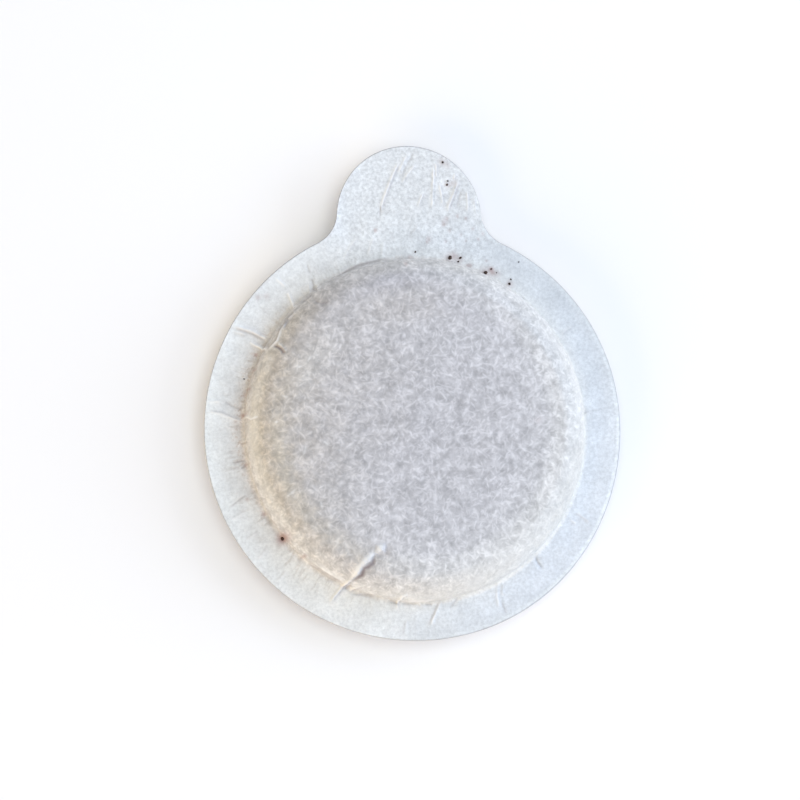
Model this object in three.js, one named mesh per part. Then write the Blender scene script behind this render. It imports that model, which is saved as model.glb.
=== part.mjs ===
// A single-dose espresso coffee pod: a pressed cake of ground coffee held between two filter papers.
// One paper is drawn over the cake as a cup and the other covers it. They are sealed to each other
// in a flat ring round the cake, and trimmed together to a circle with a round pull tab.
//
// Millimetres, +Z up. The origin is on the cake's axis, on the flat underside that the pod lies on.
// The tab points along +Y. A bearing is an angle about the axis, in degrees, from +X towards +Y.
import * as THREE from "three";

// The coffee cake
const cakeRadius = 22;
const cakeHeight = 8.9;
const cakeTopRound = 3.1; // rounding of the cake's edge under the drawn paper
const cakeBaseRound = 2.5; // rounding of the cake's edge over the cover paper

// The filter papers
const paperThickness = 0.12;
const cakeGap = 0.15; // between the cake's side and the paper round it
const bondLine = 0.02; // between the two papers in the seal
const bendRadius = 0.6; // outside of the bend from a pocket's wall into the seal
const leastWall = 0.1; // straight wall that a pocket keeps between its two roundings

// The seal and the pull tab
const sealHeight = 3.8; // of the bond line above the underside
const sealWidth = 4.63;
const tabRadius = 9.65;
const tabOffset = 0.5; // of the tab's centre outside the round rim
const neckRadius = 4.8; // hollow corner between the rim and the tab

// How the papers lie: gathers in the pockets' walls, and a lazy wave along the trimmed edge
const upperGather = 0.16;
const lowerGather = 0.12;
const gatherBearing = 205; // side of the pocket where the gathers are deepest
const edgeWave = 0.3;

// Creases, each a narrow ridge that runs outwards at a bearing. Its run is given in travel, which
// is -1 at the edge of the pocket's flat, 0 at the pocket's foot and 1 at the trimmed edge.
const creases = [
  { bearing: 7.5, rise: 0.18, from: -0.3, to: 1.2 },
  { bearing: 80, rise: 0.2, from: 0.1, to: 0.9 },
  { bearing: 88, rise: 0.22, from: 0.3, to: 1.1 },
  { bearing: 96.5, rise: 0.24, from: 0.2, to: 1.1 },
  { bearing: 123, rise: 0.2, from: -0.4, to: 0.8 },
  { bearing: 148, rise: 0.3, from: -0.5, to: 1.2 },
  { bearing: 174, rise: 0.28, from: -0.4, to: 1.3 },
  { bearing: 216, rise: 0.18, from: -0.3, to: 0.9 },
  { bearing: 277, rise: 0.22, from: -0.2, to: 1.1 },
  { bearing: 293, rise: 0.2, from: -0.1, to: 1.2 },
];
const creaseHalfWidth = 0.55;

// The one fold that stands up, from the seal over the drawn paper's shoulder on to its flat. It lies
// aslant: its bearing is that of its middle, and falls by its slant for each unit of travel.
const fold = { bearing: 248, slant: 4.4, rise: 0.75, from: -1.5, to: 0.75 };
const foldHalfWidth = 0.5;
const foldReach = 2.6; // of the fold on to the flat, inside the shoulder
const foldPull = 15; // angle to each side over which the fold pulls the papers with it

// Facets
const plainSpokes = 92;
const cakeSegments = 72;
const topShoulderSteps = 4;
const baseShoulderSteps = 3;
const bendSteps = 2;
const sealSteps = 3;

// Sizes that follow from those above
const pocketRadius = cakeRadius + cakeGap + paperThickness; // outside of a pocket's wall
const footRadius = pocketRadius + bendRadius; // where a pocket's bend meets the seal
const rimRadius = footRadius + sealWidth;
const tabReach = rimRadius + tabOffset; // from the axis to the tab's centre
const bendHeight = bondLine / 2 + paperThickness + bendRadius; // centre of the bend over the bond line
const radians = THREE.MathUtils.degToRad;

// The trimmed edge

// Centre of the hollow corner on the tab's right, which touches the rim and the tab from outside.
function neckCentre() {
  const toRim = rimRadius + neckRadius;
  const toTab = tabRadius + neckRadius;
  const y = (toRim ** 2 - toTab ** 2 + tabReach ** 2) / (2 * tabReach);
  return new THREE.Vector2(Math.sqrt(toRim ** 2 - y ** 2), y);
}

const neck = neckCentre();
const neckOnRim = neck.clone().multiplyScalar(rimRadius / (rimRadius + neckRadius));
const tabCentre = new THREE.Vector2(0, tabReach);
const neckOnTab = tabCentre.clone().lerp(neck, tabRadius / (tabRadius + neckRadius));

// Distance from the axis to a circle along a bearing. The near crossing has side -1, the far one 1.
function crossing(centre, radius, angle, side) {
  const along = centre.x * Math.cos(angle) + centre.y * Math.sin(angle);
  const across = centre.lengthSq() - along ** 2;
  return along + side * Math.sqrt(Math.max(0, radius ** 2 - across));
}

// Distance from the axis to the trimmed edge: the rim, then a hollow corner, then the tab.
function trimmedEdge(angle) {
  const offTab = Math.abs(Math.atan2(-Math.cos(angle), Math.sin(angle)));
  if (offTab >= Math.atan2(neckOnRim.x, neckOnRim.y)) return rimRadius;
  const mirrored = Math.PI / 2 - offTab;
  if (offTab >= Math.atan2(neckOnTab.x, neckOnTab.y)) {
    return crossing(neck, neckRadius, mirrored, -1);
  }
  return crossing(tabCentre, tabRadius, mirrored, 1);
}

// Bearings of the spokes that carry the sheet, in radians: evenly spaced along the trimmed edge,
// with three more for each crease and for the fold, at its foot, its crest and its other foot.
function spokeAngles() {
  const start = Math.atan2(neckOnRim.y, -neckOnRim.x);
  const end = Math.atan2(neckOnRim.y, neckOnRim.x) + 2 * Math.PI;
  const left = new THREE.Vector2(-neck.x, neck.y);
  const turn = (from, to) => Math.atan2(to.y - from.y, to.x - from.x);
  const mirror = (point) => new THREE.Vector2(-point.x, point.y);
  const edge = new THREE.Path();
  edge.absarc(0, 0, rimRadius, start, end, false);
  edge.absarc(neck.x, neck.y, neckRadius, turn(neck, neckOnRim), turn(neck, neckOnTab), true);
  edge.absarc(0, tabReach, tabRadius, turn(tabCentre, neckOnTab), turn(tabCentre, mirror(neckOnTab)));
  edge.absarc(left.x, left.y, neckRadius, turn(left, mirror(neckOnTab)), turn(left, mirror(neckOnRim)), true);
  const angles = edge
    .getSpacedPoints(plainSpokes)
    .slice(1)
    .map((point) => THREE.MathUtils.euclideanModulo(point.angle(), 2 * Math.PI));
  const ridges = creases.map((crease) => [crease.bearing, creaseHalfWidth]);
  for (const [bearing, halfWidth] of [...ridges, [fold.bearing, foldHalfWidth]]) {
    const middle = radians(bearing);
    const reach = halfWidth / footRadius;
    const clear = angles.filter((angle) => Math.abs(angle - middle) > 1.5 * reach);
    angles.splice(0, angles.length, ...clear, middle - reach, middle, middle + reach);
  }
  return angles.sort((a, b) => a - b);
}

const spokes = spokeAngles().map((angle) => ({ angle, edge: trimmedEdge(angle) }));

// How far the paper lies from its plain form

// Height of a ridge at a spoke and a travel: 0 at its two feet and at both ends of its run.
function ridgeHeight(ridge, halfWidth, angle, travel) {
  const aside = Math.abs(angle - radians(ridge.bearing)) * footRadius;
  const along = (travel - ridge.from) / (ridge.to - ridge.from);
  if (aside >= halfWidth || along <= 0 || along >= 1) return 0;
  return ridge.rise * (1 - aside / halfWidth) * Math.sqrt(4 * along * (1 - along));
}

function creaseHeight(angle, travel) {
  const heights = creases.map((crease) => ridgeHeight(crease, creaseHalfWidth, angle, travel));
  return Math.max(...heights);
}

// How far the fold pulls a spoke round the axis, which sets the fold aslant.
function foldTurn(angle, travel) {
  const aside = Math.abs(angle - radians(fold.bearing)) / radians(foldPull);
  const middle = (fold.from + fold.to) / 2;
  return radians(fold.slant) * (middle - travel) * Math.max(0, 1 - aside);
}

// Lift of the sealed ring and tab, which both papers share.
function sealLift(angle, travel) {
  const wave = Math.sin(2 * angle + 0.8) * 0.6 + Math.sin(5 * angle + 2) * 0.4;
  return creaseHeight(angle, travel) + edgeWave * wave * travel ** 2;
}

// Depth of a pocket's gathers: every second spoke stands proud, most so round gatherBearing.
function gatherHeight(index, angle, travel, depth) {
  if (travel <= -1 || travel >= 0) return 0;
  const around = 0.55 + 0.45 * Math.cos(angle - radians(gatherBearing));
  return (index % 2) * depth * around * Math.sqrt(-4 * travel * (1 + travel));
}

// The papers

function arc(x, y, radius, from, to, steps) {
  return new THREE.EllipseCurve(x, y, radius, radius, from, to, true).getPoints(steps);
}

// One skin of a paper, from the axis outwards, as stations. A station's radius and height are those
// of the plain pocket over the bond line, its normal points out of the pocket, and from travel 0 on
// it lies on the seal and its place is set by the spoke that it is on.
function skin(depth, round, shoulderSteps, offset) {
  const shoulder = { r: cakeRadius + cakeGap - round, z: depth - round, radius: round + offset };
  const bend = { r: footRadius, z: bendHeight, radius: bendRadius + paperThickness - offset };
  const top = depth + offset;
  const stations = [
    { r: 0, z: top, nr: 0, nz: 1, travel: -2 },
    { r: shoulder.r - foldReach, z: top, nr: 0, nz: 1, travel: fold.from },
  ];
  const over = arc(0, 0, 1, Math.PI / 2, 0, shoulderSteps);
  over.forEach((way, i) => {
    const travel = -1 + (0.6 * i) / shoulderSteps;
    const r = shoulder.r + shoulder.radius * way.x;
    stations.push({ r, z: shoulder.z + shoulder.radius * way.y, nr: way.x, nz: way.y, travel });
  });
  const under = arc(0, 0, 1, 0, -Math.PI / 2, bendSteps);
  under.forEach((way, i) => {
    const travel = (-0.25 * (bendSteps - i)) / bendSteps;
    const r = bend.r - bend.radius * way.x;
    stations.push({ r, z: bend.z + bend.radius * way.y, nr: way.x, nz: -way.y, travel });
  });
  for (let i = 1; i <= sealSteps; i++) {
    stations.push({ r: 0, z: bend.z - bend.radius, nr: 0, nz: 1, travel: i / sealSteps });
  }
  return stations;
}

// Place of a station on a spoke. Side is 1 for the drawn paper and -1 for the cover.
function place(station, spoke, index, side, gather, standing) {
  const { angle, edge } = spoke;
  const onSeal = station.travel >= 0;
  let r = station.r;
  let z = station.z * side;
  if (onSeal) {
    r = footRadius + station.travel * (edge - footRadius);
    z += sealLift(angle, station.travel);
  } else {
    const out =
      gatherHeight(index, angle, station.travel, gather) +
      (side > 0 ? creaseHeight(angle, station.travel) : 0);
    r += station.nr * out;
    z += station.nz * out * side;
  }
  const raised = standing ? ridgeHeight(fold, foldHalfWidth, angle, station.travel) : 0;
  r += station.nr * raised;
  z += station.nz * raised;
  const turned = angle + foldTurn(angle, station.travel);
  return [r * Math.cos(turned), r * Math.sin(turned), z + sealHeight];
}

// A whole paper: its section is revolved, and every point is then set on its own spoke.
function paper({ name, side, depth, cakeRound, shoulderSteps, gather, standing, material }) {
  const round = Math.min(cakeRound, depth - bendHeight - leastWall);
  const outer = skin(depth, round, shoulderSteps, paperThickness);
  const inner = skin(depth, round, shoulderSteps, 0);
  const section = [...inner, ...outer.reverse()];
  const profile = section.map((station) => new THREE.Vector2(station.r, station.z));
  const geometry = new THREE.LatheGeometry(profile, spokes.length);
  const points = geometry.getAttribute("position");
  for (let i = 0; i <= spokes.length; i++) {
    const index = i % spokes.length;
    section.forEach((station, j) => {
      const at = place(station, spokes[index], index, side, gather, standing);
      points.setXYZ(i * section.length + j, ...at);
    });
  }
  // Both papers are divided alike, so that they follow each other in the seal. Seen from outside,
  // the corners of the facets run the other way round on one of them.
  if (side < 0) turnFacetsOver(geometry.getIndex());
  geometry.deleteAttribute("uv");
  geometry.computeVertexNormals();
  const mesh = new THREE.Mesh(geometry, material);
  mesh.name = name;
  return mesh;
}

function turnFacetsOver(corners) {
  for (let i = 0; i < corners.count; i += 3) {
    const first = corners.getX(i);
    corners.setX(i, corners.getX(i + 2));
    corners.setX(i + 2, first);
  }
}

// The coffee cake

// A disc with its two edges rounded, revolved about its axis. Each flat lies on a paper.
function cake(upperDepth, lowerDepth, material) {
  const top = Math.min(cakeTopRound, upperDepth - bendHeight - leastWall);
  const base = Math.min(cakeBaseRound, lowerDepth - bendHeight - leastWall);
  const profile = [
    new THREE.Vector2(0, upperDepth),
    ...arc(cakeRadius - top, upperDepth - top, top, Math.PI / 2, 0, topShoulderSteps),
    ...arc(cakeRadius - base, base - lowerDepth, base, 0, -Math.PI / 2, baseShoulderSteps),
    new THREE.Vector2(0, -lowerDepth),
  ];
  const geometry = new THREE.LatheGeometry(profile.reverse(), cakeSegments);
  geometry.rotateX(Math.PI / 2);
  const mesh = new THREE.Mesh(geometry, material);
  mesh.name = "coffee_cake";
  mesh.position.z = sealHeight;
  return mesh;
}

// Materials

const filterPaper = new THREE.MeshStandardMaterial({ color: 0xdfe2e4, roughness: 0.92, metalness: 0 });
const coverPaper = new THREE.MeshStandardMaterial({ color: 0xd9dcde, roughness: 0.92, metalness: 0 });
const groundCoffee = new THREE.MeshStandardMaterial({ color: 0x3a2317, roughness: 0.95, metalness: 0 });

// Assembly

const lowerDepth = sealHeight - paperThickness; // inside of the cover, down from the bond line
const upperDepth = cakeHeight - lowerDepth; // inside of the drawn paper, up from the bond line

const pod = new THREE.Group();
pod.name = "coffee_pod";
pod.add(
  paper({
    name: "upper_paper",
    side: 1,
    depth: upperDepth,
    cakeRound: cakeTopRound,
    shoulderSteps: topShoulderSteps,
    gather: upperGather,
    standing: true,
    material: filterPaper,
  }),
  cake(upperDepth, lowerDepth, groundCoffee),
  paper({
    name: "lower_paper",
    side: -1,
    depth: lowerDepth,
    cakeRound: cakeBaseRound,
    shoulderSteps: baseShoulderSteps,
    gather: lowerGather,
    standing: false,
    material: coverPaper,
  }),
);

export default pod;
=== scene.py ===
"""Visual model of a single-dose paper coffee pod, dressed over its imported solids.

The pod lies on its cover paper. Its sizes are in millimetres in its own frame: the origin is on the
cake's axis at the underside, +Z is up and the pull tab points along +Y. A bearing is an angle about
the axis from +X towards +Y. The papers and the cake are scaled to metres when they are finished; the
grains, the finishes' lengths and the studio are in metres from the start.
"""

import logging
import math
import random
from dataclasses import dataclass, field
from enum import Enum

import bmesh
import bpy
from mathutils import Matrix, Vector, noise
from mathutils.bvhtree import BVHTree


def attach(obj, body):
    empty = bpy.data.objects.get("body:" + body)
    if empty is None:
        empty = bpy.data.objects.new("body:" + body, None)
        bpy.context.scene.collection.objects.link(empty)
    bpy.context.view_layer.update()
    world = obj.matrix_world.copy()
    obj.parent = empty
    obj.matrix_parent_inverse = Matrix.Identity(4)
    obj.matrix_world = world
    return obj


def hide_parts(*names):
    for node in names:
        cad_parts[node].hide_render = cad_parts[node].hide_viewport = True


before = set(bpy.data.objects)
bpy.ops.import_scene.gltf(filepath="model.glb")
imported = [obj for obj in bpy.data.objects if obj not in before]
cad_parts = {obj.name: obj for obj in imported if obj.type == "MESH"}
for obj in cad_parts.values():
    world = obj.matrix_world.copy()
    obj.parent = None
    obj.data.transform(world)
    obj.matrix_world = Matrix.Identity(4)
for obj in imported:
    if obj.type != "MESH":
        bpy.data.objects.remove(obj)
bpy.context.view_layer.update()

BODY = "root"
METRES = 0.001
# Millimetres within which two places are the same, straight away or after some steps.
TOUCH = 1e-4
NEAR = 1e-3
TURN = 2 * math.pi
log = logging.getLogger("coffee_pod")

Place = tuple[float, float]
Box = tuple[float, float, float, float]
Masks = tuple[float, float, float, float]
Triple = tuple[float, float, float]
Colour = Triple
BMesh = bmesh.types.BMesh
Object = bpy.types.Object
Material = bpy.types.Material
Node = bpy.types.Node
Socket = bpy.types.NodeSocket


class Side(Enum):
    """The two filter papers of the pod, by the way that their outer face looks."""

    DRAWN = 1
    COVER = -1


def share_of(value: float, low: float, high: float) -> float:
    """Share of the way from low to high that a value has gone, held from 0 to 1."""
    return min(1.0, max(0.0, (value - low) / (high - low)))


def smooth(value: float, low: float, high: float) -> float:
    """Eased share of the way from low to high, from 0 to 1."""
    share = share_of(value, low, high)
    return share * share * (3 - 2 * share)


def blend(first: float, last: float, share: float) -> float:
    """Value that lies a share of the way from the first to the last."""
    return first + (last - first) * share


def bell(off: float) -> float:
    """Bell curve, which is 1 in its middle and 0.37 at a distance of 1."""
    return math.exp(-(off**2))


def pointing(bearing: float, out: float, up: float) -> Vector:
    """Vector that goes out along a bearing in radians, and up."""
    return Vector((out * math.cos(bearing), out * math.sin(bearing), up))


# The pod's sizes and its trimmed outline


@dataclass(frozen=True)
class PodSizes:
    """Sizes of the pod in millimetres, as its solids have them, and how full its shoulders are."""

    cake_radius: float = 22.0
    cake_height: float = 8.9
    top_round: float = 3.1
    base_round: float = 2.5
    paper: float = 0.12
    cake_gap: float = 0.15
    bond_line: float = 0.02
    bend_radius: float = 0.6
    seal_height: float = 3.8
    seal_width: float = 4.63
    tab_radius: float = 9.65
    tab_offset: float = 0.5
    neck_radius: float = 4.8
    shoulder_profile: float = 0.43

    @property
    def pocket_radius(self) -> float:
        """Outside of a pocket's wall."""
        return self.cake_radius + self.cake_gap + self.paper

    @property
    def foot_radius(self) -> float:
        """Where a pocket's bend meets the seal."""
        return self.pocket_radius + self.bend_radius

    @property
    def rim_radius(self) -> float:
        """Radius of the round part of the trimmed edge."""
        return self.foot_radius + self.seal_width

    @property
    def tab_reach(self) -> float:
        """Distance from the axis to the tab's centre."""
        return self.rim_radius + self.tab_offset

    @property
    def seal_face(self) -> float:
        """Height of a paper's outer face over the bond line, in the seal."""
        return self.bond_line / 2 + self.paper

    def depth(self, side: Side) -> float:
        """Distance of a pocket's outer flat from the bond line.

        Args:
            side: Which of the two papers.

        Returns:
            The distance in millimetres.
        """
        if side is Side.COVER:
            return self.seal_height
        return self.cake_height + 2 * self.paper - self.seal_height

    def corner(self, side: Side) -> float:
        """Radius of the outer rounding of a pocket's edge."""
        rounding = self.top_round if side is Side.DRAWN else self.base_round
        return rounding + self.paper


@dataclass(frozen=True)
class TrimmedEdge:
    """Outline that the two papers are trimmed to: a round rim, two hollow necks and a tab."""

    sizes: PodSizes
    samples: int = 7200

    def _neck(self) -> Place:
        """Finds the hollow corner on the tab's right.

        Returns:
            Its centre.
        """
        to_rim = self.sizes.rim_radius + self.sizes.neck_radius
        to_tab = self.sizes.tab_radius + self.sizes.neck_radius
        reach = self.sizes.tab_reach
        y = (to_rim**2 - to_tab**2 + reach**2) / (2 * reach)
        return math.sqrt(to_rim**2 - y**2), y

    def _crossing(self, centre: Place, radius: float, bearing: float, side: int) -> float:
        """Finds where a line out from the axis crosses a circle.

        Args:
            centre: The circle's centre.
            radius: Its radius.
            bearing: The line's bearing in radians.
            side: Which crossing: the near one (-1) or the far one (1).

        Returns:
            Its distance from the axis.
        """
        along = centre[0] * math.cos(bearing) + centre[1] * math.sin(bearing)
        across = centre[0] ** 2 + centre[1] ** 2 - along**2
        return along + side * math.sqrt(max(0.0, radius**2 - across))

    def reach(self, bearing: float) -> float:
        """Distance from the axis to the trimmed edge.

        Args:
            bearing: The bearing in radians.

        Returns:
            The distance in millimetres.
        """
        sizes = self.sizes
        off_tab = abs(math.atan2(-math.cos(bearing), math.sin(bearing)))
        neck = self._neck()
        if off_tab >= math.atan2(neck[0], neck[1]):
            return sizes.rim_radius
        share = sizes.tab_radius / (sizes.tab_radius + sizes.neck_radius)
        joint = (neck[0] * share, blend(sizes.tab_reach, neck[1], share))
        mirrored = math.pi / 2 - off_tab
        if off_tab >= math.atan2(joint[0], joint[1]):
            return self._crossing(neck, sizes.neck_radius, mirrored, -1)
        return self._crossing((0.0, sizes.tab_reach), sizes.tab_radius, mirrored, 1)

    def bearings(self, count: int) -> list[float]:
        """Bearings that cut the trimmed edge into equal lengths.

        Args:
            count: How many bearings.

        Returns:
            The bearings in radians, from 0 up to a full turn.
        """
        angles = [TURN * i / self.samples for i in range(self.samples + 1)]
        points = [Vector((math.cos(a), math.sin(a))) * self.reach(a) for a in angles]
        run = [0.0]
        for before, after in zip(points, points[1:]):
            run.append(run[-1] + (after - before).length)
        spread, j = [], 0
        for i in range(count):
            goal = run[-1] * i / count
            while run[j + 1] < goal:
                j += 1
            part = (goal - run[j]) / (run[j + 1] - run[j])
            spread.append(angles[j] + part * TURN / self.samples)
        return spread


# Marks in the paper

# Rise in millimetres at which a mark is felt at full strength.
FULL_RISE = 0.25


@dataclass(frozen=True)
class Trace:
    """What a mark does at one point: its rise in millimetres, and three shares: white with painted highlight,
    painted shade, and stain.
    """

    rise: float = 0.0
    white_and_highlight: float = 0.0
    shade: float = 0.0
    stain: float = 0.0

    @property
    def strength(self) -> float:
        """How much of a mark is felt at the place, from 0 to about 1."""
        return max(self.white_and_highlight, self.shade, self.stain, abs(self.rise) / FULL_RISE)


def beside(path: tuple[Place, ...], x: float, y: float) -> tuple[float, float, int, float]:
    """Finds a place beside a path of straight stretches.

    Args:
        path: The path's points.
        x: Place along X in millimetres.
        y: Place along Y in millimetres.

    Returns:
        The distance off the path, positive on its right, the distance along it, the number of the
        nearest stretch and the share of that stretch.
    """
    best, run = (math.inf, 0.0, 0, 0.0), 0.0
    for number, ((x0, y0), (x1, y1)) in enumerate(zip(path, path[1:])):
        dx, dy = x1 - x0, y1 - y0
        length = math.hypot(dx, dy)
        share = min(1.0, max(0.0, ((x - x0) * dx + (y - y0) * dy) / length**2))
        off = math.hypot(x - x0 - share * dx, y - y0 - share * dy)
        if off < abs(best[0]):
            off = math.copysign(off, (x - x0) * dy - (y - y0) * dx)
            best = (off, run + share * length, number, share)
        run += length
    return best


def path_box(path: tuple[Place, ...], pad: float) -> Box:
    """Box round a path: lowest x and y, highest x and y."""
    xs, ys = [x for x, _ in path], [y for _, y in path]
    return min(xs) - pad, min(ys) - pad, max(xs) + pad, max(ys) + pad


@dataclass(frozen=True)
class Crease:
    """A crease: a narrow ridge on a low swell, with a whitened crest, partly a painted highlight, and painted
    shade on its right side.

    The swell's width, the lean of the shade and the margin are in half widths, and the taper is the
    share of the length over which each end fades.
    """

    points: tuple[Place, ...]
    rise: float = 0.05
    half_width: float = 0.14
    white_and_highlight: float = 0.65
    shade: float = 0.2
    swell: float = 0.4
    swell_width: float = 2.0
    lean: float = 1.3
    margin: float = 4.0
    taper: float = 0.25
    fluctuation_scale: float = 1.5
    fluctuation_layer: float = 3.0

    def reach(self) -> Box:
        """Box that the crease may touch."""
        return path_box(self.points, self.margin * self.half_width)

    def trace(self, x: float, y: float) -> Trace | None:
        """Effect of the crease at a place.

        Args:
            x: Place along X in millimetres.
            y: Place along Y in millimetres.

        Returns:
            The effect, or None where the crease doesn't reach.
        """
        aside, along, _, _ = beside(self.points, x, y)
        if abs(aside) > self.margin * self.half_width:
            return None
        length = sum(math.dist(a, b) for a, b in zip(self.points, self.points[1:]))
        end = self.taper * length
        taper = min(smooth(along, 0, end), smooth(length - along, 0, end))
        if taper <= 0:
            return None
        off = aside / self.half_width
        crest = bell(off) * taper
        swell = self.swell * bell(off / self.swell_width) * taper
        # Painted shade beside a standing crease, or along the middle of a sunk one.
        hollow = bell(off - (0.0 if self.rise < 0 else self.lean)) * taper
        fluctuation = 1 + noise.noise(Vector((x, y, self.fluctuation_layer)) * self.fluctuation_scale)
        return Trace(self.rise * (crest + swell), self.white_and_highlight * crest * fluctuation, self.shade * hollow)


@dataclass(frozen=True)
class FoldKnot:
    """One station of a standing fold, in millimetres, with the share of painted shade beside it."""

    x: float
    y: float
    rise: float
    half_width: float
    shade: float


@dataclass(frozen=True)
class StandingFold:
    """A pleat that stands off the paper and leans, with a painted highlight on its left flank and
    painted shade in the crevice under its right side.

    The middles and widths of its painted highlight and of its crevice are in half widths. The steep
    side's width and the crevice's depth are shares of the fold's own.
    """

    knots: tuple[FoldKnot, ...]
    steep_side: float = 0.4
    white_and_highlight: float = 0.9
    white_middle: float = -0.4
    white_width: float = 0.6
    crevice_depth: float = 0.2
    crevice_middle: float = 0.95
    crevice_width: float = 0.5
    margin: float = 1.4

    @property
    def points(self) -> tuple[Place, ...]:
        """The line of the fold's crest."""
        return tuple((knot.x, knot.y) for knot in self.knots)

    def reach(self) -> Box:
        """Box that the fold may touch."""
        return path_box(self.points, self.margin)

    def trace(self, x: float, y: float) -> Trace | None:
        """Effect of the fold at a place.

        Args:
            x: Place along X in millimetres.
            y: Place along Y in millimetres.

        Returns:
            The effect, or None where the fold doesn't reach.
        """
        aside, _, number, share = beside(self.points, x, y)
        if abs(aside) > self.margin:
            return None
        first, last = self.knots[number : number + 2]
        rise = blend(first.rise, last.rise, share)
        width = blend(first.half_width, last.half_width, share)
        shade = blend(first.shade, last.shade, share)
        crest = bell(aside / (width if aside < 0 else self.steep_side * width))
        # Painted highlight on the fold's left flank.
        pale = bell((aside / width - self.white_middle) / self.white_width)
        # The crevice: the fold dips there, and painted shade lies in it.
        painted_shade = bell((aside / width - self.crevice_middle) / self.crevice_width)
        return Trace(
            rise=rise * (crest - self.crevice_depth * painted_shade),
            white_and_highlight=self.white_and_highlight * min(1.0, rise / FULL_RISE) * pale,
            shade=shade * painted_shade,
        )


@dataclass(frozen=True)
class Stain:
    """A spot that wet coffee has left in the paper, in millimetres; its margin is in radii."""

    x: float
    y: float
    radius: float
    strength: float
    margin: float = 2.0

    def reach(self) -> Box:
        """Box that the stain may touch."""
        return path_box(((self.x, self.y),), self.margin * self.radius)

    def trace(self, x: float, y: float) -> Trace | None:
        """Effect of the stain at a place.

        Args:
            x: Place along X in millimetres.
            y: Place along Y in millimetres.

        Returns:
            The effect, or None where the stain doesn't reach.
        """
        off = math.hypot(x - self.x, y - self.y) / self.radius
        if off > self.margin:
            return None
        return Trace(stain=self.strength * bell(off))


Mark = Crease | StandingFold | Stain


@dataclass(frozen=True)
class PaperMarks:
    """Every mark on one paper, filed by square cells of so many millimetres to find them quickly."""

    marks: tuple[Mark, ...]
    cell: float = 2.0
    index: dict[tuple[int, int], list[Mark]] = field(default_factory=dict)

    def __post_init__(self) -> None:
        """Files each mark under every cell that it may touch."""
        for mark in self.marks:
            low_x, low_y, high_x, high_y = mark.reach()
            for i in range(int(low_x // self.cell), int(high_x // self.cell) + 1):
                for j in range(int(low_y // self.cell), int(high_y // self.cell) + 1):
                    self.index.setdefault((i, j), []).append(mark)

    def trace(self, x: float, y: float) -> Trace | None:
        """Joint effect of all the marks at a place.

        Args:
            x: Place along X in millimetres.
            y: Place along Y in millimetres.

        Returns:
            The effect, or None where no mark reaches.
        """
        near = self.index.get((int(x // self.cell), int(y // self.cell)), ())
        found = [t for t in (mark.trace(x, y) for mark in near) if t]
        if not found:
            return None
        return Trace(
            rise=max((t.rise for t in found), key=abs),
            white_and_highlight=max(t.white_and_highlight for t in found),
            shade=max(t.shade for t in found),
            stain=min(1.0, sum(t.stain for t in found)),
        )


# Creases of the tab, each from its root towards its edge.
TAB_CREASES = (
    Crease(
        ((-3.8, 28.3), (-3.7, 29.5), (-3.3, 30.7), (-2.4, 32.9), (-1.9, 34.1), (-1.4, 35.1), (-0.6, 36.1)),
        rise=0.1,
        half_width=0.17,
        white_and_highlight=1.0,
        shade=0.4,
    ),
    Crease(((-1.5, 33.9), (-0.9, 34.8), (-0.4, 35.9), (0.3, 36.9)), rise=0.07, white_and_highlight=0.8),
    Crease(((-1.0, 32.4), (-0.3, 33.6), (0.4, 34.5), (1.3, 35.5)), rise=0.07, white_and_highlight=0.8),
    Crease(((1.1, 29.3), (1.3, 29.8), (1.6, 30.6), (2.0, 31.6)), rise=0.07, shade=0.25),
    Crease(((3.1, 28.8), (3.2, 31.1), (3.4, 33.5), (3.4, 35.6)), rise=0.08, white_and_highlight=0.9),
    Crease(((3.8, 33.3), (3.8, 35.6)), white_and_highlight=0.7),
    Crease(((4.5, 29.5), (4.5, 30.6), (4.3, 31.8), (4.1, 32.9)), rise=0.07, shade=0.25),
    Crease(
        ((5.1, 28.6), (5.3, 29.6), (5.8, 30.7), (6.3, 32.0), (6.8, 33.3)),
        rise=0.12,
        half_width=0.2,
        white_and_highlight=1.1,
        shade=0.4,
    ),
    Crease(((6.1, 33.2), (6.4, 34.1)), rise=0.07, white_and_highlight=0.8),
    Crease(((7.8, 28.6), (7.9, 30.4), (7.8, 32.0)), rise=0.07, white_and_highlight=0.8),
    Crease(((9.0, 28.4), (8.9, 29.7), (8.7, 31.1)), white_and_highlight=0.35, shade=0.1),
    Crease(((-8.9, 22.4), (-8.3, 23.7), (-7.6, 24.7), (-6.9, 25.7)), white_and_highlight=0.4, shade=0.15),
    Crease(((-5.8, 22.9), (-5.4, 23.7), (-5.1, 24.6), (-4.7, 25.8)), white_and_highlight=0.6, shade=0.15),
    Crease(((4.3, 27.5), (2.8, 27.4), (1.4, 27.0), (0.5, 26.2), (-0.1, 25.1)), rise=0.03, white_and_highlight=0.1),
    Crease(((-4.0, 21.9), (-3.4, 25.1)), white_and_highlight=0.35, shade=0.0),
)
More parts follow.
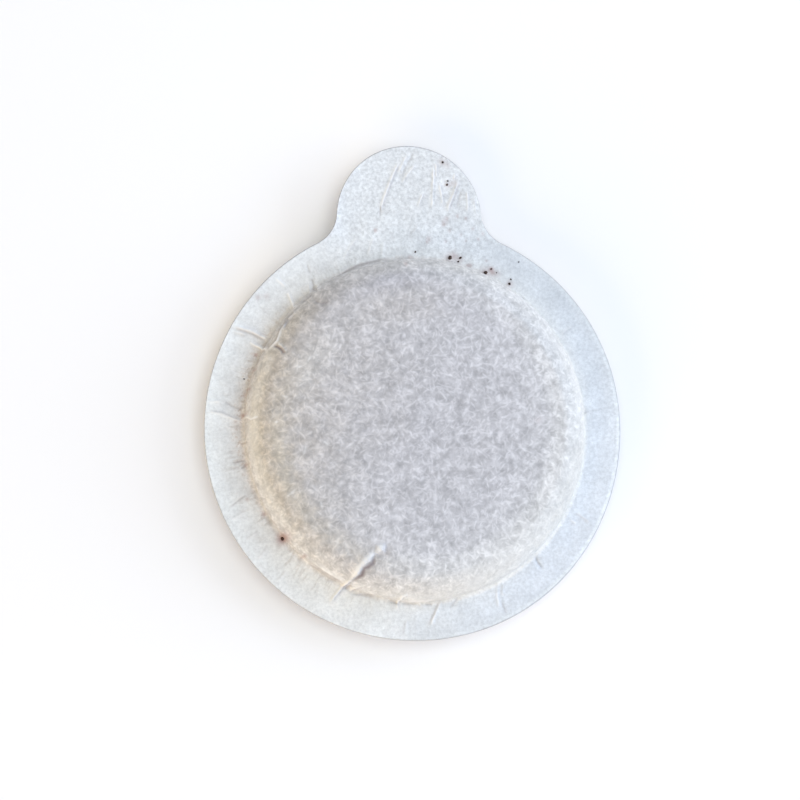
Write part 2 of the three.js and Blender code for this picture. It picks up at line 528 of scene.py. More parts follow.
# Creases of the back and left of the ring and the pocket's foot.
LEFT_CREASES = (
    Crease(
        ((-23.8, 13.9), (-22.1, 13.4), (-20.9, 13.0), (-19.8, 12.4), (-18.7, 11.8)),
        rise=0.1,
        half_width=0.2,
        white_and_highlight=1.2,
        shade=0.45,
    ),
    Crease(((-23.6, 13.2), (-21.5, 12.6)), half_width=0.16, white_and_highlight=0.6, shade=0.2),
    Crease(((-21.6, 11.8), (-19.9, 10.9), (-19.2, 10.0)), rise=0.08, half_width=0.17, white_and_highlight=1),
    Crease(((-22.3, -10.3), (-24.4, -11.4)), rise=0.04, white_and_highlight=0.35, shade=0.15),
    Crease(((-20.6, -12.9), (-22.5, -14.1)), rise=0.04, white_and_highlight=0.35, shade=0.15),
    Crease(((-19.4, -15.0), (-21.0, -16.6)), rise=0.04, white_and_highlight=0.45, shade=0.15),
    Crease(((-17.1, -17.9), (-18.5, -19.6)), rise=0.04, white_and_highlight=0.45, shade=0.15),
    Crease(((-18.1, 11.1), (-17.6, 10.5), (-17.0, 9.7)), white_and_highlight=0.57, shade=0.0),
    Crease(((-14.7, 16.0), (-16.7, 14.1), (-17.6, 12.6), (-18.1, 11.3), (-19.7, 9.7)), rise=0.08, shade=0.4),
    Crease(((-17.9, 20.1), (-16.5, 18.9)), white_and_highlight=0.65, shade=0.0),
    Crease(((-16.4, 18.5), (-15.9, 17.3), (-15.3, 15.6)), rise=0.08, white_and_highlight=1, shade=0.1),
    Crease(((-13.7, 19.4), (-13.2, 17.8)), shade=0.0),
    Crease(((-11.9, 19.7), (-12.8, 17.7)), white_and_highlight=0.5, shade=0.0),
    Crease(((-27.2, 4.0), (-25.1, 4.0)), white_and_highlight=0.5, shade=0.0),
    Crease(((-22.3, 1.3), (-23.9, 1.8), (-25.1, 2.4), (-27.2, 2.8)), white_and_highlight=0.5, shade=0.25),
    Crease(((-22.5, 1.9), (-21.6, 1.3), (-20.6, 1.6)), shade=0.2),
    Crease(((-22.9, -1.4), (-22.1, -1.3)), white_and_highlight=0.5, shade=0.4),
    Crease(((-24.0, -4.6), (-23.0, -4.4)), white_and_highlight=0.57),
    Crease(((-24.6, -9.7), (-23.3, -8.7), (-22.1, -7.8)), white_and_highlight=0.42, shade=0.35),
    Crease(
        ((-14.5, -16.8), (-13.0, -17.8), (-11.7, -18.7), (-10.0, -19.7)),
        rise=0.07,
        half_width=0.15,
        shade=0.3,
    ),
)
# Creases of the front and right of the ring and the pocket's foot.
RIGHT_CREASES = (
    Crease(((-9.2, -20.8), (-8.6, -20.5), (-7.7, -20.2)), white_and_highlight=0.65),
    Crease(((-2.2, -22.2), (-0.3, -22.3), (1.7, -22.2)), white_and_highlight=0.65, shade=0.0),
    Crease(((-3.0, -23.6), (-2.9, -22.4), (-2.7, -21.7), (-1.8, -21.4)), rise=0.08, white_and_highlight=0.95, shade=0.15),
    Crease(((0.3, -23.3), (-0.1, -22.3)), white_and_highlight=0.73, shade=0.1),
    Crease(((2.9, -22.2), (2.3, -23.5), (1.6, -24.9), (1.3, -25.9)), rise=0.08, half_width=0.16, shade=0.35),
    Crease(((-1.7, -24.5), (-2.2, -27.0)), rise=0.03, white_and_highlight=0.2, shade=0.25),
    Crease(((10.4, -20.1), (10.2, -22.0), (10.4, -23.9)), white_and_highlight=0.57, shade=0.15),
    Crease(((11.1, -20.4), (10.9, -22.1)), white_and_highlight=0.5),
    Crease(((16.2, 14.3), (18.7, 13.1), (19.8, 12.2)), shade=0.15),
    Crease(((19.8, 12.2), (20.6, 13.0), (21.6, 13.5)), white_and_highlight=0.35),
    Crease(((20.2, 11.4), (20.1, 9.1), (21.8, 7.4)), white_and_highlight=0.57, shade=0.1),
    Crease(((14.2, 18.2), (15.9, 16.8)), white_and_highlight=0.5, shade=0.1),
    Crease(((21.0, -11.1), (21.9, -11.7), (23.1, -12.7)), white_and_highlight=0.35, shade=0.15),
    Crease(((20.2, -12.1), (21.2, -12.8)), white_and_highlight=0.35, shade=0.15),
)


def dent(points: tuple[Place, ...], shade: float, half_width: float = 0.18, depth: float = 0.08) -> Crease:
    """Makes a furrow with painted shade in it.

    Args:
        points: Its line.
        shade: How dark its painted shade is, from 0 to 1.
        half_width: Half of its width in millimetres.
        depth: How deep it is in millimetres.

    Returns:
        A crease that sinks in place of standing out.
    """
    return Crease(points, rise=-depth, half_width=half_width, white_and_highlight=0.0, shade=shade)


# Furrows of the drawn paper with painted shade, among them painted shadow lines along the pocket's foot.
DENTS = (
    dent(((-3.9, 28.1), (-3.8, 29.0), (-3.7, 29.8)), 0.5, 0.12, 0.04),
    dent(((-1.0, 33.1), (-0.3, 34.8), (0.5, 36.1), (0.9, 37.3)), 0.3, 0.14, 0.04),
    dent(((6.3, 29.1), (6.7, 30.6), (7.2, 32.0)), 0.25, 0.18, 0.05),
    dent(((-18.7, 10.8), (-18.3, 10.6), (-17.8, 10.2), (-17.3, 9.4)), 0.85, 0.18, 0.08),
    dent(((-13.2, 20.4), (-12.9, 19.3), (-12.8, 17.5)), 0.4, 0.14, 0.06),
    dent(((-13.8, 22.3), (-13.5, 21.2), (-13.2, 20.4)), 0.25, 0.14, 0.04),
    dent(((-13.4, 17.1), (-13.1, 16.4), (-12.4, 16.0), (-11.2, 16.3)), 0.3, 0.2, 0.05),
    dent(((-10.5, 19.5), (-8.4, 21.0), (-7.0, 21.7), (-5.1, 22.2), (-2.7, 22.7)), 0.5, 0.16, 0.05),
    dent(((-13.2, 17.6), (-14.0, 16.9), (-14.9, 16.3)), 0.45, 0.16, 0.05),
    dent(((-15.5, 15.3), (-16.4, 14.5), (-17.1, 13.5), (-17.8, 12.7)), 0.45, 0.25),
    dent(((-25.1, 4.2), (-23.8, 3.4), (-22.1, 2.7)), 0.35, 0.15, 0.04),
    dent(((-24.0, -4.1), (-22.9, -3.8), (-22.1, -3.8)), 0.4, 0.14, 0.05),
    dent(((-22.9, -4.8), (-22.1, -4.3)), 0.5, 0.14, 0.05),
    dent(((-9.8, -20.6), (-9.1, -20.2)), 0.4, 0.2, 0.1),
    dent(((-9.1, -21.2), (-7.1, -21.4), (-5.6, -21.7)), 0.3),
    dent(((-4.2, -22.1), (-2.7, -22.6)), 0.35),
    dent(((-2.5, -22.6), (-1.3, -22.7), (-0.2, -22.7)), 0.3, 0.2),
    dent(((0.6, -22.8), (1.7, -22.8)), 0.3, 0.2),
    dent(((5.3, -21.8), (4.6, -22.6), (3.8, -23.4)), 0.25),
    dent(((10.7, -22.5), (11.3, -24.5)), 0.3, 0.14, 0.04),
    dent(((15.5, -16.7), (15.8, -17.7), (16.5, -18.6)), 0.4, 0.15, 0.1),
    dent(((21.5, 1.3), (23.5, 2.2), (26.0, 2.5)), 0.2, 0.13, 0.05),
)
# Loose white fibres on the flat of the pocket, with no relief.
WISPS = tuple(
    Crease(points, rise=0.0, half_width=0.15, white_and_highlight=0.28, shade=0.0)
    for points in (
        ((-14.7, -1.4), (-14.9, -2.5), (-15.3, -3.9)),
        ((-17.7, -9.0), (-16.9, -8.4), (-16.0, -7.7)),
        ((-16.3, 7.6), (-15.0, 7.9), (-14.0, 9.0), (-13.3, 9.5)),
        ((-18.1, 4.1), (-16.9, 3.9)),
        ((-12.8, -1.7), (-11.8, -2.4)),
        ((-0.8, -14.9), (-0.8, -16.1)),
        ((-10.1, -15.2), (-9.6, -16.5)),
        ((-19.0, 0.5), (-18.3, 0.9)),
        ((-13.2, -9.3), (-12.9, -10.6)),
        ((-5.1, -13.9), (-5.2, -15.2)),
    )
)
# The standing fold's tail over the seal, which both papers share, and the fold itself.
FOLD_TAIL = Crease(
    ((-11.8, -22.5), (-11.2, -21.6), (-10.4, -20.7), (-9.9, -19.9), (-9.0, -19.2)),
    rise=0.2,
    half_width=0.18,
    white_and_highlight=0.85,
    shade=0.3,
)
MAIN_FOLD = StandingFold(
    (
        FoldKnot(-9.4, -19.5, 0.0, 0.3, 0.2),
        FoldKnot(-9.0, -19.1, 0.2, 0.45, 0.75),
        FoldKnot(-8.55, -18.6, 0.4, 0.65, 1.0),
        FoldKnot(-8.15, -17.85, 0.35, 0.5, 0.85),
        FoldKnot(-7.7, -17.5, 0.42, 0.65, 0.9),
        FoldKnot(-7.2, -17.1, 0.45, 0.7, 0.85),
        FoldKnot(-6.85, -16.6, 0.3, 0.5, 0.5),
        FoldKnot(-6.4, -16.2, 0.05, 0.3, 0.1),
        FoldKnot(-5.9, -16.05, 0.25, 0.6, 0.25),
        FoldKnot(-5.5, -15.8, 0.4, 0.75, 0.25),
        FoldKnot(-5.35, -15.3, 0.2, 0.6, 0.1),
        FoldKnot(-5.3, -15.0, 0.0, 0.4, 0.0),
    )
)
# Spots of wet coffee on the drawn paper.
STAINS = (
    Stain(5.3, 22.7, 0.75, 0.3),
    Stain(5.9, 23.0, 0.5, 0.25),
    Stain(6.6, 22.5, 0.5, 0.3),
    Stain(10.0, 20.7, 0.7, 0.35),
    Stain(10.8, 21.2, 0.35, 0.5),
    Stain(11.0, 20.7, 0.4, 0.4),
    Stain(11.6, 20.5, 0.5, 0.2),
    Stain(13.2, 19.2, 0.5, 0.3),
    Stain(12.6, 18.0, 0.4, 0.15),
    Stain(4.7, 35.5, 0.6, 0.25),
    Stain(5.4, 35.0, 0.4, 0.15),
    Stain(5.2, 32.5, 0.5, 0.25),
    Stain(6.1, 32.7, 0.5, 0.22),
    Stain(-4.5, 26.4, 0.28, 0.5),
    Stain(2.6, 25.2, 0.3, 0.3),
    Stain(2.3, 24.8, 0.22, 0.35),
    Stain(2.9, 25.3, 0.22, 0.3),
    Stain(2.2, 25.4, 0.2, 0.25),
    Stain(4.7, 27.5, 0.45, 0.25),
    Stain(5.1, 28.0, 0.3, 0.3),
    Stain(4.6, 27.1, 0.25, 0.25),
    Stain(5.4, 26.4, 0.25, 0.3),
    Stain(4.8, 24.9, 0.22, 0.35),
    Stain(6.5, 28.3, 0.2, 0.4),
    Stain(7.6, 28.0, 0.2, 0.4),
    Stain(9.2, 25.2, 0.2, 0.35),
    Stain(9.8, 25.9, 0.2, 0.3),
    Stain(10.2, 22.3, 0.2, 0.35),
    Stain(8.0, 21.7, 0.25, 0.4),
    Stain(7.6, 21.7, 0.22, 0.4),
    Stain(-1.2, 21.2, 0.25, 0.35),
    Stain(0.0, 22.8, 0.3, 0.3),
    Stain(-0.2, 24.7, 0.2, 0.25),
    Stain(-17.7, -13.9, 0.7, 0.8),
    Stain(-21.7, 5.4, 0.22, 0.5),
    Stain(-20.6, 10.0, 0.25, 0.5),
    Stain(-20.9, 7.9, 0.2, 0.4),
    Stain(-22.1, 4.8, 0.3, 0.3),
    Stain(-20.2, 17.5, 0.35, 0.3),
    Stain(-19.1, 17.7, 0.4, 0.2),
    Stain(-20.0, -10.7, 0.3, 0.45),
    Stain(-22.2, -4.3, 0.22, 0.4),
    Stain(-22.1, -8.7, 0.22, 0.35),
    Stain(-22.4, 2.1, 0.28, 0.6),
    Stain(-15.1, -16.3, 0.25, 0.4),
    Stain(15.4, 0.5, 0.45, 0.12),
    Stain(8.5, 26.6, 0.2, 0.25),
    Stain(6.9, 25.8, 0.18, 0.3),
    Stain(7.5, 25.0, 0.2, 0.25),
)


# Turned forms


def round_off(bm: BMesh, corner: bmesh.types.BMVert, radius: float, steps: int, profile: float = 0.5) -> None:
    """Rounds one right-angled corner of a half section.

    Args:
        bm: The mesh that holds the section.
        corner: The corner.
        radius: Radius of the rounding.
        steps: How many edges it gets.
        profile: Its fullness; 0.5 is a part of a circle, and less is nearer to a chamfer.
    """
    bmesh.ops.bevel(
        bm,
        geom=[corner],
        offset=radius,
        offset_type="OFFSET",
        segments=steps,
        profile=profile,
        affect="VERTICES",
        material=-1,
    )


def draw_line(bm: BMesh, places: tuple[Place, ...]) -> list[bmesh.types.BMVert]:
    """Draws a half section in the XZ plane from corner to corner.

    Args:
        bm: The mesh that gets the section.
        places: Radius and height of each corner.

    Returns:
        The corners.
    """
    corners = [bm.verts.new((radius, 0, height)) for radius, height in places]
    for pair in zip(corners, corners[1:]):
        bm.edges.new(pair)
    return corners


def revolve(bm: BMesh, spokes: int, way: int) -> None:
    """Turns a half section in the XZ plane about Z.

    Args:
        bm: The mesh that holds the section.
        spokes: How many steps a full turn gets.
        way: Whether the faces at the axis are to look up (1) or down (-1).
    """
    bmesh.ops.spin(
        bm,
        geom=bm.verts[:] + bm.edges[:],
        cent=(0, 0, 0),
        axis=(0, 0, 1),
        angle=TURN,
        steps=spokes,
        use_merge=True,
    )
    bmesh.ops.remove_doubles(bm, verts=bm.verts, dist=TOUCH)
    bmesh.ops.recalc_face_normals(bm, faces=bm.faces)
    crown = max(bm.faces, key=lambda face: way * face.calc_center_median().z)
    if crown.normal.z * way < 0:
        bmesh.ops.reverse_faces(bm, faces=bm.faces)


def link_mesh(bm: BMesh, name: str, material: Material) -> Object:
    """Makes an object of a mesh and links it to the scene.

    Args:
        bm: The mesh in metres, which is used up.
        name: The object's name.
        material: Its finish.

    Returns:
        The object, at the origin.
    """
    mesh = bpy.data.meshes.new(name)
    bm.to_mesh(mesh)
    bm.free()
    mesh.materials.append(material)
    made = bpy.data.objects.new(name, mesh)
    bpy.context.collection.objects.link(made)
    return made


def finish_piece(bm: BMesh, name: str, material: Material) -> Object:
    """Turns a mesh in millimetres into a smooth object in metres.

    Args:
        bm: The mesh, which is used up.
        name: The object's name.
        material: Its finish.

    Returns:
        The object, linked to the scene.
    """
    bmesh.ops.scale(bm, vec=(METRES,) * 3, verts=bm.verts)
    piece = link_mesh(bm, name, material)
    piece.data.shade_smooth()
    return piece


# The filter papers

# Colour attributes that tell the papers' finish what each place is like, in the order of PaperMasks.
ATTRIBUTES = ("marks", "zones", "foot")


@dataclass(frozen=True)
class SealSlope:
    """Outward slope of the seal ring by bearing, as a mean and a cosine and a sine for each order.

    Its curl, a mean and a cosine, is how far the ring sags between its foot and its rim, and the
    onset is the power of the way out that the slope goes with.
    """

    mean: float = 0.05
    orders: tuple[Place, ...] = (
        (0.037, 0.006),
        (-0.042, -0.038),
        (-0.011, 0.036),
        (-0.024, 0.056),
    )
    curl: Place = (0.05, -0.05)
    onset: float = 1.5

    def at(self, bearing: float, travel: float) -> float:
        """Finds the lift of the ring as a share of its width.

        Args:
            bearing: The bearing in radians.
            travel: Share of the way from the foot to the trimmed edge.

        Returns:
            The lift.
        """
        waves = (
            c * math.cos(n * bearing) + s * math.sin(n * bearing) for n, (c, s) in enumerate(self.orders, 1)
        )
        slope = self.mean + sum(waves)
        curl = (self.curl[0] + self.curl[1] * math.cos(bearing)) * (travel**2 - travel)
        return slope * travel**self.onset + curl


@dataclass(frozen=True)
class SealRipple:
    """Low ripple of the seal: a broad noise and a finer one on another layer.

    The height is in millimetres, broad is the scale of the broad noise, and the onset is the share
    of the way to the trimmed edge over which the ripple sets in.
    """

    height: float = 0.05
    broad: float = 0.45
    fine_share: float = 0.5
    fine_layer: float = 9.0
    onset: float = 0.3

    def at(self, x: float, y: float, travel: float) -> float:
        """Finds the ripple's height.

        Args:
            x: Place along X in millimetres.
            y: Place along Y in millimetres.
            travel: Share of the way from the foot to the trimmed edge.

        Returns:
            The height in millimetres.
        """
        fine = noise.noise(Vector((x, y, self.fine_layer)))
        ripple = noise.noise(Vector((x, y, 0)) * self.broad) + self.fine_share * fine
        return self.height * ripple * smooth(travel, 0, self.onset)


@dataclass(frozen=True)
class FootWander:
    """How the pocket's wall strays in and out towards its foot.

    The size, the least and the onset are in millimetres. The mean and the fine share are shares of
    the size, and broad and fine are the scales of two noises round the axis.
    """

    size: float = 0.12
    mean: float = 0.4
    least: float = -0.08
    broad: float = 3.0
    fine: float = 9.0
    fine_share: float = 0.6
    climb: float = 0.2
    onset: float = 2.5

    def at(self, co: Vector, cake_radius: float) -> float:
        """Finds how far the wall strays outwards.

        Args:
            co: The place.
            cake_radius: Where the straying is in full, after it sets in on the shoulder.

        Returns:
            The distance in millimetres.
        """
        bearing = math.atan2(co.y, co.x)
        around = Vector((math.cos(bearing), math.sin(bearing), self.climb * co.z))
        fine = self.fine_share * noise.noise(around * self.fine)
        stray = max(self.least, self.size * (self.mean + noise.noise(around * self.broad) + fine))
        return stray * smooth(co.xy.length, cake_radius - self.onset, cake_radius)


def nearness(co: Vector, bearing: float, spread: float) -> float:
    """Closeness of a place to a bearing, from 0 to 1, with both angles in degrees."""
    off = (math.degrees(math.atan2(co.y, co.x)) - bearing + 180) % 360 - 180
    return bell(off / spread)


@dataclass(frozen=True)
class RadialField:
    """A property of the pocket's paper: by radius, a mean and a lean towards one bearing in degrees."""

    bearing: float
    stations: tuple[tuple[float, float, float], ...]

    def at(self, radius: float) -> Place:
        """Finds the property at a distance from the axis.

        Args:
            radius: The distance in millimetres.

        Returns:
            The mean and the lean.
        """
        for (inner, mean, lean), (outer, next_mean, next_lean) in zip(self.stations, self.stations[1:]):
            if radius <= outer:
                share = smooth(radius, inner, outer)
                return blend(mean, next_mean, share), blend(lean, next_lean, share)
        return self.stations[-1][1:]


@dataclass(frozen=True)
class Patch:
    """A soft patch on the paper, by its middle's radius and bearing, in millimetres and degrees."""

    radius: float
    width: float
    bearing: float
    spread: float
    strength: float = 1.0

    def at(self, co: Vector) -> float:
        """Its strength at a place."""
        off = (co.xy.length - self.radius) / self.width
        return self.strength * bell(off) * nearness(co, self.bearing, self.spread)


# How closely a paper lies on the coffee, with painted shade in its lean towards one side, and how
# brown it is: radius, mean and lean.
CONTACT_AND_SHADE = RadialField(
    146.0,
    (
        (0.0, 0.94, 0.0),
        (12.0, 0.9, 0.0),
        (16.0, 0.84, 0.05),
        (18.3, 0.71, 0.2),
        (19.8, 0.6, 0.26),
        (21.2, 0.44, 0.17),
        (22.0, 0.31, 0.19),
        (24.0, 0.1, 0.1),
    ),
)
BROWNING = RadialField(
    183.0,
    (
        (0.0, 0.1, 0.08),
        (8.0, 0.1, 0.12),
        (12.0, 0.06, 0.34),
        (16.0, 0.02, 0.58),
        (17.5, 0.0, 0.8),
        (18.8, 0.0, 1.0),
        (20.3, 0.12, 0.76),
        (21.3, 0.16, 0.32),
        (22.2, 0.14, -0.1),
        (23.2, 0.1, -0.08),
        (24.2, 0.0, 0.0),
    ),
)
# Where the paper looks whiter (less than 0) or greyer: partly it stands off or clings to the coffee, partly
# painted light and shade.
CLINGING_AND_SHADE = (
    Patch(21.35, 0.85, 178.0, 26.0, -0.3),
    Patch(22.4, 0.7, 217.0, 27.0, 0.15),
    Patch(18.6, 1.2, 190.0, 24.0, -0.2),
    Patch(16.3, 1.9, 152.0, 17.0, -0.2),
    Patch(20.3, 1.5, 244.0, 24.0, 0.24),
    Patch(22.6, 0.8, 136.0, 16.0, -0.2),
    Patch(19.2, 1.3, 100.0, 18.0, 0.2),
    Patch(21.2, 1.0, 123.0, 14.0, 0.18),
    Patch(16.5, 2.0, 70.0, 25.0, 0.08),
)
# Where the paper is more or less brown than the rest at its radius.
TINGES = (
    Patch(9.0, 6.0, 130.0, 45.0, 0.12),
    Patch(16.0, 2.5, 98.0, 24.0, 0.25),
    Patch(18.4, 1.2, 235.0, 25.0, 0.3),
    Patch(22.2, 0.7, 235.0, 50.0, -0.15),
    Patch(21.4, 1.2, 141.0, 20.0, 0.3),
    Patch(21.2, 1.2, 338.0, 24.0, 0.15),
    Patch(18.4, 1.2, 25.0, 25.0, -0.12),
    Patch(22.2, 0.8, 45.0, 15.0, -0.15),
)


@dataclass
class FilterPaper:
    """One of the two papers: a flat-bottomed pocket, the seal ring round it and the tab.

    A zone that lies to one side is given by its bearing and spread in degrees, and a refinement by
    the longest edge in millimetres and the least strength of the marks that ask for it.
    """

    name: str
    side: Side
    sizes: PodSizes
    edge: TrimmedEdge
    marks: PaperMarks
    spokes: int = 360
    calm_radius: float = 12.0
    calm_cuts: int = 5
    flat_cuts: int = 14
    corner_steps: int = 12
    bend_steps: int = 5
    wall_cuts: int = 3
    seal_cuts: int = 18
    refinements: tuple[Place, ...] = ((0.16, 0.05), (0.16, 0.12), (0.1, 0.5))
    slope: SealSlope = SealSlope()
    ripple: SealRipple = SealRipple()
    wander: FootWander = FootWander()
    # Greyness of the pocket's paper: the coffee showing through, with painted shade and light.
    contact_and_shade: RadialField = CONTACT_AND_SHADE
    clinging_and_shade: tuple[Patch, ...] = CLINGING_AND_SHADE
    contact_limits: Place = (-0.1, 1.2)
    browning: RadialField = BROWNING
    browning_spread: float = 56.0
    tinges: tuple[Patch, ...] = TINGES
    border: Place = (22.3, 23.5)
    # Coffee dust and painted shade in the corner at the pocket's foot, on its left.
    grime_and_shade: Patch = Patch(22.95, 0.95, 171.0, 33.0, 1.05)
    gathers: Patch = Patch(23.6, 1.5, 192.0, 78.0)
    least_gathers: float = 0.12
    white_foot: Patch = Patch(22.8, 0.55, 320.0, 62.0)
    # Painted light: the rim paler on the left, and a painted highlight line just inside the trimmed edge on
    # the right.
    painted_light_rim: Place = (175.0, 40.0)
    painted_light_rim_reach: Place = (0.3, 1.0)
    rim_highlight: Place = (350.0, 65.0)
    rim_highlight_reach: Place = (0.4, 0.65)
    rim_highlight_strength: float = 0.6
    tab_weave: Place = (9.0, 14.0)
    # Painted light: the seal tinted as by cool light on one side and by warm light on the other.
    cool_light_side: Place = (315.0, 38.0)
    warm_light_side: Place = (238.0, 28.0)
    # The last band inside the trimmed edge, in millimetres, and how dark the painted shade along the edge is.
    edge_band: float = 0.16
    edge_shade: float = 0.55

    def build(self, material: Material) -> Object:
        """Makes the paper as a finished object.

        Args:
            material: The paper's finish.

        Returns:
            The object, in metres, with its place in its mesh.
        """
        bm = bmesh.new()
        self._draw_section(bm)
        revolve(bm, self.spokes, self.side.value)
        self._trim(bm)
        self._refine(bm)
        self._crumple(bm)
        piece = finish_piece(bm, self.name, material)
        wall = piece.modifiers.new("paper thickness", "SOLIDIFY")
        wall.thickness = self.sizes.paper * METRES
        wall.offset = -1
        return piece

    def _draw_section(self, bm: BMesh) -> None:
        """Draws the outer face's half section, with heights from the bond line.

        Args:
            bm: The mesh that gets it.
        """
        sizes, way = self.sizes, self.side.value
        top, foot = sizes.depth(self.side) * way, sizes.seal_face * way
        band = sizes.rim_radius - self.edge_band
        flat = ((0, top), (self.calm_radius, top), (sizes.pocket_radius, top))
        seal = ((sizes.pocket_radius, foot), (band, foot), (sizes.rim_radius, foot))
        corners = draw_line(bm, flat + seal)
        round_off(bm, corners[2], sizes.corner(self.side), self.corner_steps, sizes.shoulder_profile)
        round_off(bm, corners[3], sizes.bend_radius, self.bend_steps)
        shoulder = sizes.pocket_radius - sizes.corner(self.side)
        self._divide(bm, 0.0, self.calm_radius, self.calm_cuts)
        self._divide(bm, self.calm_radius, shoulder, self.flat_cuts)
        self._divide(bm, sizes.pocket_radius, sizes.pocket_radius, self.wall_cuts)
        self._divide(bm, sizes.foot_radius, band, self.seal_cuts)

    @staticmethod
    def _divide(bm: BMesh, inner: float, outer: float, cuts: int) -> None:
        """Divides the one straight stretch of the section that runs between two radii.

        Args:
            bm: The mesh that holds the section.
            inner: Radius at one end of the stretch.
            outer: Radius at its other end.
            cuts: How many places it is cut at.
        """
        stretch = [
            edge
            for edge in bm.edges
            if all(abs(a - b) < NEAR for a, b in zip(sorted(v.co.x for v in edge.verts), (inner, outer)))
        ]
        bmesh.ops.subdivide_edges(bm, edges=stretch, cuts=cuts)

    def _trim(self, bm: BMesh) -> None:
        """Spreads the spokes evenly along the trimmed edge and takes the seal out to it.

        Args:
            bm: The turned mesh.
        """
        sizes = self.sizes
        spread = self.edge.bearings(self.spokes)
        reaches = [self.edge.reach(bearing) for bearing in spread]
        step = TURN / self.spokes
        for vert in bm.verts:
            radius = vert.co.xy.length
            if radius < TOUCH:
                continue
            spoke = round((math.atan2(vert.co.y, vert.co.x) % TURN) / step) % self.spokes
            past = radius - (sizes.rim_radius - self.edge_band)
            if past > -TOUCH:
                radius = reaches[spoke] - self.edge_band + past
            elif radius > sizes.foot_radius:
                share = (radius - sizes.foot_radius) / (sizes.seal_width - self.edge_band)
                radius = sizes.foot_radius + share * (reaches[spoke] - self.edge_band - sizes.foot_radius)
            vert.co.x = radius * math.cos(spread[spoke])
            vert.co.y = radius * math.sin(spread[spoke])

    def _refine(self, bm: BMesh) -> None:
        """Divides the faces round each mark, so that the mesh can carry it.

        Args:
            bm: The trimmed mesh.
        """
        for longest, least in self.refinements:
            near = [
                edge
                for edge in bm.edges
                if edge.calc_length() > longest and any(self._feels(vert.co, least) for vert in edge.verts)
            ]
            bmesh.ops.subdivide_edges(bm, edges=near, cuts=1, use_grid_fill=True)

    def _feels(self, co: Vector, least: float) -> bool:
        """Whether a mark reaches a place with at least some strength."""
        trace = self.marks.trace(co.x, co.y)
        return trace is not None and trace.strength >= least

    def _travel(self, co: Vector) -> float:
        """How far a place lies from the pocket's foot (0) to the trimmed edge (1)."""
        foot = self.sizes.foot_radius
        return (math.hypot(co.x, co.y) - foot) / (self.edge.reach(math.atan2(co.y, co.x)) - foot)

    def _seal_lift(self, co: Vector) -> float:
        """Finds the lift of the sealed ring and tab, which both papers share.

        Args:
            co: The place.

        Returns:
            The lift in millimetres.
        """
        travel = self._travel(co)
        if travel <= 0:
            return 0.0
        rim_lift = self.slope.at(math.atan2(co.y, co.x), travel) * self.sizes.seal_width
        return rim_lift + self.ripple.at(co.x, co.y, travel)

    def _crumple(self, bm: BMesh) -> None:
        """Moves the paper to how it really lies, and keeps what its finish needs to know.

        Args:
            bm: The refined mesh.
        """
        bm.normal_update()
        layers = [bm.verts.layers.float_color.new(name) for name in ATTRIBUTES]
        places = [(vert, vert.co.copy(), vert.normal.copy()) for vert in bm.verts]
        for vert, co, normal in places:
            trace = self.marks.trace(co.x, co.y) or Trace()
            self._move(vert, co, normal, trace.rise)
            for layer, masks in zip(layers, self._dress(co, trace)):
                vert[layer] = masks

    def _move(self, vert: bmesh.types.BMVert, co: Vector, normal: Vector, rise: float) -> None:
        """Moves one vertex to where the paper lies.

        Args:
            vert: The vertex.
            co: Its place in the plain paper.
            normal: Its normal there.
            rise: Rise of the marks there, in millimetres.
        """
        sizes = self.sizes
        vert.co.z += self._seal_lift(co)
        if co.xy.length > sizes.foot_radius - NEAR:
            vert.co.z += rise
        else:
            if self.side is Side.DRAWN:
                vert.co += normal * rise
            vert.co.xy += co.xy.normalized() * self.wander.at(co, sizes.cake_radius)
        vert.co.z += sizes.seal_height

    def _dress(self, co: Vector, trace: Trace) -> tuple[Masks, ...]:
        """Finds what the finish needs to know of a place.

        Args:
            co: The place in the plain paper.
            trace: What the marks do there.

        Returns:
            The four masks of each colour attribute.
        """
        travel = self._travel(co)
        to_edge = self.edge.reach(math.atan2(co.y, co.x)) - co.xy.length
        inside = smooth(to_edge, 0, self.edge_band)
        # Painted shade of the marks' hollows and crevices, and a thin line of painted shade along the trimmed
        # edge.
        painted_shade = max(trace.shade, self.edge_shade * (1 - inside))
        loose = 1 - smooth(math.dist(co.xy, (0, self.sizes.tab_reach)), *self.tab_weave)
        pleated = max(self.least_gathers * (travel > 0), self.gathers.at(co))
        # Painted highlight: a thin light line just inside the trimmed edge on the right.
        highlight_line = inside * (1 - smooth(to_edge, *self.rim_highlight_reach)) * nearness(co, *self.rim_highlight)
        # Painted light: the seal's rim paler on its left side.
        pale = smooth(travel, *self.painted_light_rim_reach) * nearness(co, *self.painted_light_rim)
        # Painted light: 0 on the warm side, 1 on the cool side.
        cool_light = (1 + nearness(co, *self.cool_light_side) - nearness(co, *self.warm_light_side)) / 2
        beyond = share_of(co.xy.length, *self.border)
        return (
            (trace.white_and_highlight, painted_shade, trace.stain, loose),
            (self._contact_and_shade(co), self._browning(co), beyond, self.white_foot.at(co)),
            (self.grime_and_shade.at(co), pleated, pale + self.rim_highlight_strength * highlight_line, cool_light),
        )

    def _contact_and_shade(self, co: Vector) -> float:
        """Finds how closely the paper lies on the coffee, with painted shade and light added to it.

        Args:
            co: The place.

        Returns:
            About 0 where it stands off and looks white, up to about 1 where it looks grey.
        """
        mean, lean = self.contact_and_shade.at(co.xy.length)
        closeness = mean + lean * math.cos(math.atan2(co.y, co.x) - math.radians(self.contact_and_shade.bearing))
        least, most = self.contact_limits
        return min(most, max(least, closeness + sum(patch.at(co) for patch in self.clinging_and_shade)))

    def _browning(self, co: Vector) -> float:
        """Finds how far the paper is tinted brown.

        Args:
            co: The place.

        Returns:
            The share, from 0 to a little over 1.
        """
        mean, lobe = self.browning.at(co.xy.length)
        share = mean + lobe * nearness(co, self.browning.bearing, self.browning_spread)
        return max(0.0, share + sum(patch.at(co) for patch in self.tinges))


